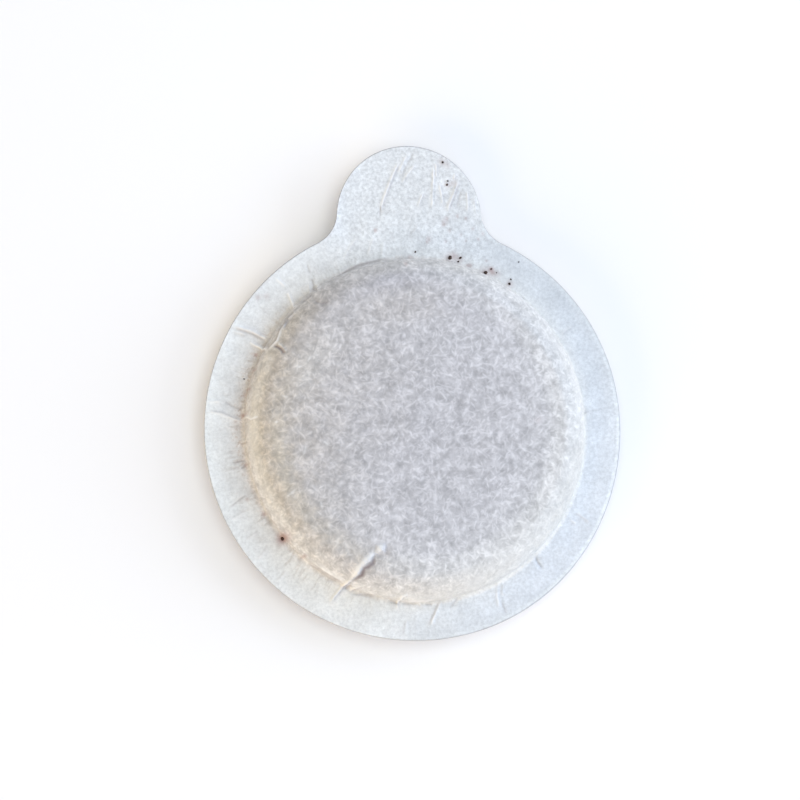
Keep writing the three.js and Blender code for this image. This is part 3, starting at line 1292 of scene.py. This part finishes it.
# The coffee


@dataclass
class CoffeeCake:
    """The pressed cake of ground coffee between the papers."""

    sizes: PodSizes
    name: str = "ground_coffee_cake"
    spokes: int = 180
    corner_steps: int = 8
    slack: float = 0.02

    def build(self, material: Material) -> Object:
        """Makes the cake as a finished object.

        Args:
            material: The coffee's finish.

        Returns:
            The object, in metres, with its place in its mesh.
        """
        sizes = self.sizes
        low = sizes.paper + self.slack
        high = low + sizes.cake_height - 2 * self.slack
        bm = bmesh.new()
        corners = draw_line(bm, ((0, low), (sizes.cake_radius, low), (sizes.cake_radius, high), (0, high)))
        round_off(bm, corners[1], sizes.base_round, self.corner_steps, sizes.shoulder_profile)
        round_off(bm, corners[2], sizes.top_round, self.corner_steps, sizes.shoulder_profile)
        revolve(bm, self.spokes, 1)
        return finish_piece(bm, self.name, material)


@dataclass(frozen=True)
class Grain:
    """A grain of spilt coffee on the paper, in millimetres."""

    x: float
    y: float
    radius: float


# The grains spilt on the drawn paper.
GRAINS = (
    Grain(5.3, 22.7, 0.3),
    Grain(6.7, 22.7, 0.2),
    Grain(6.4, 22.2, 0.13),
    Grain(10.0, 20.7, 0.28),
    Grain(10.8, 21.2, 0.14),
    Grain(11.5, 20.7, 0.1),
    Grain(13.2, 19.2, 0.18),
    Grain(13.4, 19.8, 0.12),
    Grain(4.7, 35.5, 0.17),
    Grain(5.2, 32.5, 0.15),
    Grain(5.3, 33.0, 0.12),
    Grain(0.7, 23.5, 0.15),
    Grain(14.5, 22.1, 0.11),
    Grain(-17.7, -13.9, 0.3),
    Grain(-22.2, 6.9, 0.11),
)


@dataclass
class SpiltGrounds:
    """Loose grains of ground coffee that lie on the drawn paper.

    Lengths, widths, heights and how high a grain's middle lies are shares of its radius.
    """

    grains: tuple[Grain, ...]
    name: str = "spilt_grounds"
    subdivisions: int = 2
    roughness: float = 0.35
    lump_scale: float = 1.6
    lump_span: float = 50.0
    lengths: Place = (0.85, 1.2)
    widths: Place = (0.75, 1.0)
    height: float = 0.6
    middle: float = 0.3
    drop_from: float = 0.05
    seed: int = 7

    def build(self, paper: Object, material: Material) -> Object:
        """Makes all the grains as one object, each seated on the paper.

        Args:
            paper: The drawn paper, finished.
            material: The coffee's finish.

        Returns:
            The object, in metres, with its place in its mesh.
        """
        draw = random.Random(self.seed)
        surface = BVHTree.FromObject(paper, bpy.context.evaluated_depsgraph_get())
        bm = bmesh.new()
        for grain in self.grains:
            above = Vector((grain.x * METRES, grain.y * METRES, self.drop_from))
            seat = surface.ray_cast(above, Vector((0, 0, -1)))[0]
            self._add_grain(bm, grain, seat, draw)
        return link_mesh(bm, self.name, material)

    def _add_grain(self, bm: BMesh, grain: Grain, seat: Vector, draw: random.Random) -> None:
        """Adds one crumb of coffee, sunk a little into the paper's fibres.

        Args:
            bm: The mesh in metres that gets it.
            grain: The grain.
            seat: The place under it on the paper, in metres.
            draw: Where its random numbers are drawn from.
        """
        made = bmesh.ops.create_icosphere(bm, subdivisions=self.subdivisions, radius=1.0)["verts"]
        offset = Vector([draw.uniform(0, self.lump_span) for _ in range(3)])
        for vert in made:
            vert.co *= 1 + self.roughness * noise.noise(vert.co * self.lump_scale + offset)
        size = grain.radius * METRES
        squash = (size * draw.uniform(*self.lengths), size * draw.uniform(*self.widths), size * self.height)
        bmesh.ops.scale(bm, vec=squash, verts=made)
        turn = Matrix.Rotation(draw.uniform(0, TURN), 3, "Z")
        bmesh.ops.rotate(bm, cent=(0, 0, 0), matrix=turn, verts=made)
        bmesh.ops.translate(bm, vec=seat + Vector((0, 0, size * self.middle)), verts=made)


# Finishes

# Mean of a noise texture.
NOISE_MEAN = 0.5


@dataclass(frozen=True)
class Mottle:
    """A noise texture: its scale, its octaves and its roughness."""

    scale: float
    detail: float = 2.0
    roughness: float = 0.5


@dataclass
class Shading:
    """Adds nodes to a node tree and links them."""

    tree: bpy.types.NodeTree

    def node(self, kind: str, sources: dict[str | int, object] | None = None, **settings: object) -> Node:
        """Adds a node.

        Args:
            kind: The node's type, without the ShaderNode prefix.
            sources: What its inputs are fed, by name or number.
            settings: Values of its own properties.

        Returns:
            The node.
        """
        made = self.tree.nodes.new("ShaderNode" + kind)
        for name, value in settings.items():
            setattr(made, name, value)
        for socket, source in (sources or {}).items():
            self.feed(made.inputs[socket], source)
        return made

    def feed(self, socket: Socket, source: object) -> None:
        """Links an output to a socket, or sets the socket to a plain value.

        Args:
            socket: The input.
            source: The output or the value.
        """
        if isinstance(source, Socket):
            self.tree.links.new(source, socket)
        elif socket.type == "RGBA":
            socket.default_value = (*source, 1.0)
        else:
            socket.default_value = source

    def math(self, operation: str, *values: object) -> Socket:
        """Result of a Math node on outputs or numbers."""
        return self.node("Math", dict(enumerate(values)), operation=operation).outputs[0]

    def vector(self, operation: str, *values: object) -> Node:
        """Vector Math node on outputs or triples."""
        return self.node("VectorMath", dict(enumerate(values)), operation=operation)

    def stretch(self, vector: Socket, factor: object) -> Socket:
        """Vector times one factor."""
        return self.node("VectorMath", {0: vector, "Scale": factor}, operation="SCALE").outputs[0]

    def noise(self, vector: Socket, mottle: Mottle) -> Node:
        """Noise Texture node."""
        sources = {"Scale": mottle.scale, "Detail": mottle.detail, "Roughness": mottle.roughness}
        return self.node("TexNoise", {"Vector": vector, **sources})

    def mix(self, share: object, first: object, last: object, blend_type: str = "MIX") -> Socket:
        """Adds a colour mix.

        Args:
            share: How far the mix goes from the first colour to the last.
            first: The first colour, as an output or as red, green and blue.
            last: The last colour, likewise.
            blend_type: The way that the colours are mixed.

        Returns:
            The mixed colour.
        """
        made = self.node("Mix", {"Factor": share}, data_type="RGBA", blend_type=blend_type)
        colours = [socket for socket in made.inputs if socket.type == "RGBA"]
        for socket, source in zip(colours, (first, last)):
            self.feed(socket, source)
        return next(socket for socket in made.outputs if socket.type == "RGBA")

    def times(self, colour: object, factor: object, share: object = 1.0) -> Socket:
        """Colour times a factor, as far as a share says."""
        return self.mix(share, colour, factor, "MULTIPLY")

    def ramp(self, value: Socket, low: float, high: float, to: Place = (0.0, 1.0)) -> Socket:
        """Adds an eased Map Range.

        Args:
            value: The value to map.
            low: Value that maps to the first result.
            high: Value that maps to the last result.
            to: The first and last result.

        Returns:
            The mapped value.
        """
        limits = {"From Min": low, "From Max": high, "To Min": to[0], "To Max": to[1]}
        made = self.node("MapRange", {"Value": value, **limits}, interpolation_type="SMOOTHSTEP")
        return made.outputs["Result"]


@dataclass
class Group(Shading):
    """A shader node group, with the nodes that hold its inputs and its outputs."""

    entry: Node
    leave: Node

    @classmethod
    def start(cls, name: str, inputs: dict[str, str], outputs: dict[str, str]) -> "Group":
        """Makes an empty group with its sockets.

        Args:
            name: The group's name.
            inputs: Socket type by input name.
            outputs: Socket type by output name.

        Returns:
            The group, ready for nodes.
        """
        tree = bpy.data.node_groups.new(name, "ShaderNodeTree")
        for way, sockets in (("INPUT", inputs), ("OUTPUT", outputs)):
            for label, kind in sockets.items():
                tree.interface.new_socket(label, in_out=way, socket_type=kind)
        return cls(tree, tree.nodes.new("NodeGroupInput"), tree.nodes.new("NodeGroupOutput"))


@dataclass
class Surface(Shading):
    """The nodes of one material: its shader, and the place on the piece that textures read."""

    material: Material
    shader: Node
    where: Socket

    @classmethod
    def start(cls, name: str, roughness: float, specular: float = 0.5) -> "Surface":
        """Starts a material.

        Args:
            name: The material's name.
            roughness: Its roughness.
            specular: Its specular level.

        Returns:
            The material's nodes, ready for its colour.
        """
        material = bpy.data.materials.new(name)
        material.use_nodes = True
        shader = material.node_tree.nodes["Principled BSDF"]
        shader.inputs["Roughness"].default_value = roughness
        shader.inputs["Specular IOR Level"].default_value = specular
        where = material.node_tree.nodes.new("ShaderNodeTexCoord").outputs["Object"]
        return cls(material.node_tree, material, shader, where)

    def place(self, group: Group, **values: object) -> Node:
        """Places a node group, fed by input name."""
        sources = {name.capitalize(): source for name, source in values.items()}
        return self.node("Group", sources, node_tree=group.tree)

    def emboss(self, height: Socket, distance: float, strength: float = 1.0, invert: bool = False) -> None:
        """Gives the surface a fine relief.

        Args:
            height: Height of the relief, as a share of its distance.
            distance: How high 1 stands, in metres.
            strength: How much of it is felt.
            invert: Whether the relief sinks where its height is large.
        """
        sources = {"Height": height, "Distance": distance, "Strength": strength}
        bump = self.node("Bump", sources, invert=invert)
        self.feed(self.shader.inputs["Normal"], bump.outputs["Normal"])

    def finish(self, colour: Socket) -> Material:
        """Gives the surface its colour and returns the finished material."""
        self.feed(self.shader.inputs["Base Color"], colour)
        return self.material


@dataclass(frozen=True)
class FibreWeb:
    """Node group: long-fibre filter paper, as cloudy matter with short light strands.

    Lengths are shares of one cell, and the group's Scale input is the number of cells in a metre.
    """

    layers: int = 6
    first_turn: float = 11.0
    layer_step: Triple = (17.0, 31.0, 7.0)
    strand_length: float = 1.6
    strand_width: float = 0.64
    strand: Mottle = Mottle(1.0, 0.0)
    gate: Place = (0.57, 0.88)
    swirl: Mottle = Mottle(0.5, 1.0)
    bend: float = 0.7
    cloud: Mottle = Mottle(0.62, 3.0, 0.6)

    def group(self) -> Group:
        """Builds the group.

        Returns:
            The group, with outputs Cloud, about 0.5, and Strands, from 0 to 1.
        """
        number, vector = "NodeSocketFloat", "NodeSocketVector"
        outputs = {"Cloud": number, "Strands": number}
        made = Group.start("fibre web", {"Vector": vector, "Scale": number}, outputs)
        cells = made.stretch(made.entry.outputs["Vector"], made.entry.outputs["Scale"])
        swirl = made.vector("ADD", made.noise(cells, self.swirl).outputs["Color"], (-NOISE_MEAN,) * 3)
        warped = made.vector("ADD", cells, made.stretch(swirl.outputs[0], self.bend))
        web = None
        for layer in range(self.layers):
            sources = {
                "Vector": warped.outputs[0],
                "Location": tuple(layer * step for step in self.layer_step),
                "Rotation": (0.0, 0.0, math.radians(self.first_turn + 180.0 * layer / self.layers)),
                "Scale": (self.strand_length, self.strand_width, 1.0),
            }
            turned = made.node("Mapping", sources, vector_type="TEXTURE")
            strand = made.ramp(made.noise(turned.outputs[0], self.strand).outputs[0], *self.gate)
            web = strand if web is None else made.math("MAXIMUM", web, strand)
        made.feed(made.leave.inputs["Cloud"], made.noise(cells, self.cloud).outputs[0])
        made.feed(made.leave.inputs["Strands"], web)
        return made


@dataclass(frozen=True)
class Gathers:
    """Node group: fine radial gathers, as a height that changes fast round the axis and slowly along it."""

    pitch: float = 0.00045
    length: float = 0.002
    girth: float = 0.0225
    pleat: Mottle = Mottle(1.0, 1.0)

    def group(self) -> Group:
        """Builds the group.

        Returns:
            The group, with one output, Height, about 0.5.
        """
        made = Group.start("gathers", {"Vector": "NodeSocketVector"}, {"Height": "NodeSocketFloat"})
        flat = made.vector("MULTIPLY", made.entry.outputs["Vector"], (1.0, 1.0, 0.0)).outputs[0]
        way = made.stretch(made.vector("NORMALIZE", flat).outputs[0], self.girth / self.pitch)
        around = made.node("SeparateXYZ", {0: way}).outputs
        along = made.math("MULTIPLY", made.vector("LENGTH", flat).outputs["Value"], 1 / self.length)
        placed = made.node("CombineXYZ", {0: around[0], 1: around[1], 2: along})
        made.feed(made.leave.inputs["Height"], made.noise(placed.outputs[0], self.pleat).outputs[0])
        return made


@dataclass(frozen=True)
class PaperMasks:
    """What a paper's finish reads from its colour attributes, each from 0 to about 1."""

    # White of creases and fibres, with painted highlight.
    crest: Socket
    # Painted shade of hollows, crevices and the trimmed edge.
    painted_shade: Socket
    stain: Socket
    loose: Socket
    # Coffee showing through the paper, with painted shade and light.
    contact_and_shade: Socket
    browning: Socket
    beyond: Socket
    white_foot: Socket
    # Coffee dust with painted shade at the pocket's foot.
    grime_and_shade: Socket
    pleated: Socket
    # Painted light of the rim and of its highlight line.
    pale: Socket
    # Painted cool light, against warm.
    cool_light: Socket

    @classmethod
    def read(cls, surface: Surface) -> "PaperMasks":
        """Reads the attributes, four masks from each.

        Args:
            surface: The material's nodes.

        Returns:
            The masks.
        """
        masks = []
        for name in ATTRIBUTES:
            source = surface.node("Attribute", attribute_name=name)
            parts = surface.node("SeparateColor", {0: source.outputs["Color"]})
            masks += [*parts.outputs, source.outputs["Alpha"]]
        return cls(*masks)


@dataclass(frozen=True)
class PaperFinish:
    """White filter paper over dark coffee, with creases, browning, grime and stains, and with painted light
    and shade.

    A gate is the values between which an effect sets in, and a gain is what a noise is multiplied
    by and what is added to it.
    """

    name: str
    loose: Colour = (0.80, 0.795, 0.77)
    tight: Colour = (0.517, 0.512, 0.553)
    browned: Colour = (0.875, 0.785, 0.65)
    # The seal's paper in painted cool light and in painted warm light.
    seal_in_cool_light: Colour = (0.68, 0.712, 0.765)
    seal_in_warm_light: Colour = (0.785, 0.78, 0.765)
    # Painted light of the paler rim and of the highlight line inside the trimmed edge.
    painted_rim_light: Colour = (0.87, 0.90, 0.915)
    # Coffee dust with painted shade, for the pocket's foot.
    grime_and_shade: Colour = (0.70, 0.62, 0.58)
    # Painted shade in the furrows between the gathers.
    furrow_shade: Colour = (0.84, 0.815, 0.8)
    # Whitened crests of creases, partly painted highlight, and the painted highlight on the standing fold's
    # left flank.
    crest: Colour = (0.92, 0.91, 0.91)
    # Painted shade: the dark tone put into crease hollows, furrows, the fold's crevice and along the trimmed
    # edge.
    painted_shade: Colour = (0.24, 0.20, 0.205)
    stain: Colour = (0.34, 0.18, 0.165)
    white_foot: Colour = (0.90, 0.885, 0.865)
    pocket_scale: float = 1700.0
    pocket_cloud: float = 1.0
    pocket_strands: float = 0.27
    pocket_gate: Place = (0.0, 0.6)
    seal_scale: float = 3900.0
    seal_cloud: float = 0.6
    tab_cloud: float = 1.1
    seal_strands: float = 0.06
    strand_cover: float = 0.25
    border_rag: float = 0.5
    border_gate: Place = (0.3, 0.7)
    patches: Mottle = Mottle(700.0, 3.0, 0.65)
    patches_gain: Place = (1.2, 0.4)
    white_foot_rag: float = 0.8
    white_foot_gate: Place = (0.45, 0.95)
    white_foot_most: float = 0.5
    specks: Mottle = Mottle(2400.0, 1.0)
    specks_gate: Place = (0.52, 0.68)
    specks_gain: Place = (0.55, 0.45)
    breaks: Mottle = Mottle(450.0, 1.0)
    breaks_gate: Place = (0.4, 0.6)
    furrow_gate: Place = (0.5, 0.36)
    unevenness: Mottle = Mottle(320.0, 3.0)
    unevenness_gain: Place = (0.28, 0.865)
    roughness: float = 0.9
    specular: float = 0.2
    relief: float = 0.00008
    cloud_relief: float = 0.15

    def material(self, web: Group, gathers: Group) -> Material:
        """Builds the finish.

        Args:
            web: The fibre web group.
            gathers: The gathers group.

        Returns:
            The material.
        """
        surface = Surface.start(self.name, self.roughness, self.specular)
        masks = PaperMasks.read(surface)
        pocket = surface.place(web, vector=surface.where, scale=self.pocket_scale)
        pressed = surface.place(web, vector=surface.where, scale=self.seal_scale)
        pleats = surface.place(gathers, vector=surface.where).outputs["Height"]
        breaks = surface.ramp(surface.noise(surface.where, self.breaks).outputs[0], *self.breaks_gate)
        broken = surface.math("MULTIPLY", masks.pleated, breaks)
        colour = self._tint_and_shade(surface, masks, pleats, self._ground(surface, masks, pleats))
        # Painted shade in the gathers' furrows.
        furrow_shading = surface.math("MULTIPLY", broken, surface.ramp(pleats, *self.furrow_gate))
        colour = surface.times(colour, self.furrow_shade, furrow_shading)
        colour = surface.times(colour, self._fibres(surface, masks, pocket, pressed))
        uneven = surface.noise(surface.where, self.unevenness).outputs[0]
        colour = surface.times(colour, surface.math("MULTIPLY_ADD", uneven, *self.unevenness_gain))
        marked = ((masks.crest, self.crest), (masks.painted_shade, self.painted_shade), (masks.stain, self.stain))
        for share, tone in marked:
            colour = surface.mix(share, colour, tone)
        height = surface.math("MULTIPLY", broken, pleats)
        cloud = pocket.outputs["Cloud"]
        surface.emboss(surface.math("MULTIPLY_ADD", cloud, self.cloud_relief, height), self.relief)
        return surface.finish(colour)

    def _ground(self, surface: Surface, masks: PaperMasks, pleats: Socket) -> Socket:
        """Colours the clean paper: grey where it lies on the coffee, with painted shade, and in the seal
        white to bluish with painted cool and warm light and a painted lighter rim.

        Args:
            surface: The material's nodes.
            masks: What the attributes say.
            pleats: Height of the gathers.

        Returns:
            The colour.
        """
        pocket = surface.mix(masks.contact_and_shade, self.loose, self.tight)
        seal = surface.mix(masks.cool_light, self.seal_in_warm_light, self.seal_in_cool_light)
        seal = surface.mix(masks.pale, seal, self.painted_rim_light)
        border = self._ragged(surface, masks.beyond, pleats, self.border_rag)
        return surface.mix(surface.ramp(border, *self.border_gate), pocket, seal)

    def _tint_and_shade(self, surface: Surface, masks: PaperMasks, pleats: Socket, colour: Socket) -> Socket:
        """Browns the paper, whitens its foot and darkens the foot on one side with coffee dust and painted
        shade.

        Args:
            surface: The material's nodes.
            masks: What the attributes say.
            pleats: Height of the gathers.
            colour: The clean paper's colour.

        Returns:
            The colour.
        """
        patches = surface.noise(surface.where, self.patches).outputs[0]
        patches = surface.math("MULTIPLY_ADD", patches, *self.patches_gain)
        colour = surface.times(colour, self.browned, surface.math("MULTIPLY", masks.browning, patches))
        foot = self._ragged(surface, masks.white_foot, pleats, self.white_foot_rag)
        foot = surface.ramp(foot, *self.white_foot_gate, to=(0.0, self.white_foot_most))
        colour = surface.mix(foot, colour, self.white_foot)
        specks = surface.ramp(surface.noise(surface.where, self.specks).outputs[0], *self.specks_gate)
        specks = surface.math("MULTIPLY_ADD", specks, *self.specks_gain)
        return surface.times(colour, self.grime_and_shade, surface.math("MULTIPLY", masks.grime_and_shade, specks))

    def _fibres(self, surface: Surface, masks: PaperMasks, pocket: Node, pressed: Node) -> Socket:
        """Finds the grey that the colour is multiplied by for the paper's fibres.

        Args:
            surface: The material's nodes.
            masks: What the attributes say.
            pocket: The fibre web of the pocket.
            pressed: The finer fibre web of the seal and the tab.

        Returns:
            The grey, about 1.
        """
        cloud = surface.math("MULTIPLY_ADD", masks.loose, self.tab_cloud - self.seal_cloud, self.seal_cloud)
        return surface.mix(
            surface.ramp(masks.contact_and_shade, *self.pocket_gate),
            self._weave(surface, pressed, cloud, self.seal_strands),
            self._weave(surface, pocket, self.pocket_cloud, self.pocket_strands),
        )

    def _weave(self, surface: Surface, web: Node, cloud: Socket | float, strands: float) -> Socket:
        """Weighs a fibre web's cloud and strands.

        Args:
            surface: The material's nodes.
            web: The fibre web.
            cloud: How much of its cloud shows.
            strands: How much of its strands shows.

        Returns:
            A grey, about 1.
        """
        matter = surface.math("SUBTRACT", web.outputs["Cloud"], NOISE_MEAN)
        hairs = surface.math("MULTIPLY_ADD", web.outputs["Strands"], strands, 1 - self.strand_cover * strands)
        return surface.math("ADD", surface.math("MULTIPLY", matter, cloud), hairs)

    @staticmethod
    def _ragged(surface: Surface, mask: Socket, pleats: Socket, amount: float) -> Socket:
        """Mask whose border the gathers make uneven."""
        lowered = surface.math("SUBTRACT", mask, NOISE_MEAN * amount)
        return surface.math("MULTIPLY_ADD", pleats, amount, lowered)


@dataclass(frozen=True)
class CoffeeFinish:
    """Dark roasted ground coffee, granular and a little oily."""

    name: str
    dark: Colour = (0.018, 0.009, 0.006)
    light: Colour = (0.11, 0.05, 0.028)
    grain_scale: float = 2600.0
    blotches: Mottle = Mottle(520.0, 3.0)
    roughness: float = 0.75
    relief: float = 0.0001
    relief_strength: float = 0.8

    def material(self) -> Material:
        """Builds the finish.

        Returns:
            The material.
        """
        surface = Surface.start(self.name, self.roughness)
        grains = surface.node("TexVoronoi", {"Vector": surface.where, "Scale": self.grain_scale})
        tone = surface.node("SeparateColor", {0: grains.outputs["Color"]}).outputs[0]
        share = surface.math("MULTIPLY", tone, surface.noise(surface.where, self.blotches).outputs[0])
        surface.emboss(grains.outputs["Distance"], self.relief, self.relief_strength, invert=True)
        return surface.finish(surface.mix(share, self.dark, self.light))


# The studio


@dataclass(frozen=True)
class Lamp:
    """A soft square lamp that looks at the pod, placed in degrees and metres."""

    name: str
    bearing: float
    elevation: float
    power: float
    colour: Colour
    distance: float = 0.6
    size: float = 0.5

    def hang(self) -> None:
        """Makes the lamp."""
        light = bpy.data.lights.new(self.name, "AREA")
        light.shape = "SQUARE"
        light.size = self.size
        light.energy = self.power
        light.color = self.colour
        elevation = math.radians(self.elevation)
        out = pointing(math.radians(self.bearing), math.cos(elevation), math.sin(elevation))
        holder = bpy.data.objects.new(self.name, light)
        holder.location = out * self.distance
        holder.rotation_mode = "QUATERNION"
        holder.rotation_quaternion = out.to_track_quat("Z", "Y")
        bpy.context.collection.objects.link(holder)


@dataclass(frozen=True)
class PhotoCamera:
    """The camera as it stood for the photograph.

    It leans off the vertical and is rolled by so many degrees, at a distance in metres. Its focal
    length, the width of the picture and the place of the pod's axis in it are in pixels.
    """

    lean: float = 10.04
    lean_bearing: float = 211.8
    roll: float = -1.58
    distance: float = 0.300
    focal_pixels: float = 2293.0
    image_width: float = 800.0
    axis_pixel: Place = (414.77, 429.71)
    sensor: float = 36.0
    nearest: float = 0.01

    def build(self, sizes: PodSizes) -> None:
        """Makes the camera and gives it to the scene.

        Args:
            sizes: The pod's sizes.
        """
        lens = bpy.data.cameras.new("photo camera")
        lens.sensor_width = self.sensor
        lens.lens = self.focal_pixels * self.sensor / self.image_width
        middle = self.image_width / 2
        lens.shift_x = (middle - self.axis_pixel[0]) / self.image_width
        lens.shift_y = (self.axis_pixel[1] - middle) / self.image_width
        lens.clip_start = self.nearest
        lean = math.radians(self.lean)
        back = pointing(math.radians(self.lean_bearing), math.sin(lean), math.cos(lean))
        up = (Vector((0, 1, 0)) - back * back.y).normalized()
        up.rotate(Matrix.Rotation(math.radians(self.roll), 3, back))
        turn = Matrix((up.cross(back), up, back)).transposed()
        stand = Vector((0, 0, sizes.seal_height * METRES)) + back * self.distance
        camera = bpy.data.objects.new("photo camera", lens)
        camera.matrix_world = Matrix.Translation(stand) @ turn.to_4x4()
        bpy.context.collection.objects.link(camera)
        bpy.context.scene.camera = camera


@dataclass
class Studio:
    """A plain pale floor, soft lamps and a white surround, in metres."""

    lamps: tuple[Lamp, ...]
    surround: Colour = (1.0, 1.0, 1.0)
    surround_strength: float = 0.33
    floor_radius: float = 1.5
    floor_segments: int = 96
    floor_drop: float = 0.00003
    floor_colour: Colour = (0.985, 0.96, 0.955)
    floor_mottle: Mottle = Mottle(4.0, 2.0)
    floor_dimming: float = 0.99

    def build(self) -> None:
        """Makes the floor, the lamps and the surround."""
        self._lay_floor()
        self._surround()
        for lamp in self.lamps:
            lamp.hang()
        bpy.context.scene.view_settings.view_transform = "Standard"
        log.info("studio: a floor, a surround and %d lamps", len(self.lamps))

    def _lay_floor(self) -> None:
        """Makes the floor just under the pod."""
        bm = bmesh.new()
        bmesh.ops.create_circle(bm, cap_ends=True, radius=self.floor_radius, segments=self.floor_segments)
        bmesh.ops.translate(bm, vec=(0, 0, -self.floor_drop), verts=bm.verts)
        surface = Surface.start("pale floor", roughness=1.0, specular=0.0)
        tone = surface.noise(surface.where, self.floor_mottle).outputs[0]
        dimmer = tuple(self.floor_dimming * part for part in self.floor_colour)
        floor = link_mesh(bm, "floor", surface.finish(surface.mix(tone, self.floor_colour, dimmer)))

    def _surround(self) -> None:
        """Sets the even light from all round."""
        world = bpy.data.worlds.new("surround")
        world.use_nodes = True
        background = world.node_tree.nodes["Background"]
        background.inputs["Color"].default_value = (*self.surround, 1)
        background.inputs["Strength"].default_value = self.surround_strength
        bpy.context.scene.world = world


LAMPS = (
    Lamp("window right", 0, 15, 2.46, (0.743, 0.861, 1.0)),
    Lamp("window back right", 45, 35, 1.0, (0.765, 0.811, 1.0)),
    Lamp("warm lamp left", 225, 15, 2.55, (1.0, 0.717, 0.305)),
    Lamp("ceiling", 0, 89, 1.64, (0.882, 0.974, 1.0)),
    Lamp("window front", 270, 35, 0.64, (0.03, 0.34, 1.0)),
)


# The whole pod


@dataclass
class CoffeePod:
    """The two papers, the coffee cake between them and the grains spilt on top."""

    sizes: PodSizes
    stains: tuple[Stain, ...] = ()
    grains: tuple[Grain, ...] = ()

    def build(self) -> None:
        """Makes and dresses every piece, and ties each to its body."""
        web, gathers = FibreWeb().group(), Gathers().group()
        drawn = PaperFinish("drawn filter paper").material(web, gathers)
        cover = PaperFinish("cover filter paper").material(web, gathers)
        coffee = CoffeeFinish("ground coffee").material()
        edge = TrimmedEdge(self.sizes)
        shared = (*TAB_CREASES, *LEFT_CREASES, *RIGHT_CREASES, FOLD_TAIL)
        upper_marks = PaperMarks((*shared, *DENTS, *WISPS, MAIN_FOLD, *self.stains))
        upper = FilterPaper("drawn_paper", Side.DRAWN, self.sizes, edge, upper_marks).build(drawn)
        self._seat(upper, "upper_paper", "drawn_paper")
        lower = FilterPaper("cover_paper", Side.COVER, self.sizes, edge, PaperMarks(shared)).build(cover)
        self._seat(lower, "lower_paper", "cover_paper")
        self._seat(CoffeeCake(self.sizes).build(coffee), "coffee_cake", "ground_coffee")
        if self.grains:
            spilt = SpiltGrounds(self.grains).build(upper, coffee)
            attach(spilt, BODY)
            log.info("%s: %d grains", spilt.name, len(self.grains))

    @staticmethod
    def _seat(piece: Object, node: str, slot: str) -> None:
        """Ties a piece to its body, hides the CAD node that it replaces, and reports it.

        Args:
            piece: The finished piece.
            node: The CAD node that it replaces.
            slot: The slot of its material; not used.
        """
        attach(piece, BODY)
        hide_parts(node)
        log.info("%s: %d faces before its thickness", piece.name, len(piece.data.polygons))


def main() -> None:
    """Builds the pod, the studio and the camera."""
    logging.basicConfig(level=logging.INFO, format="%(message)s")
    sizes = PodSizes()
    PhotoCamera().build(sizes)
    CoffeePod(sizes, STAINS, GRAINS).build()
    Studio(LAMPS).build()


if __name__ == "__main__":
    main()
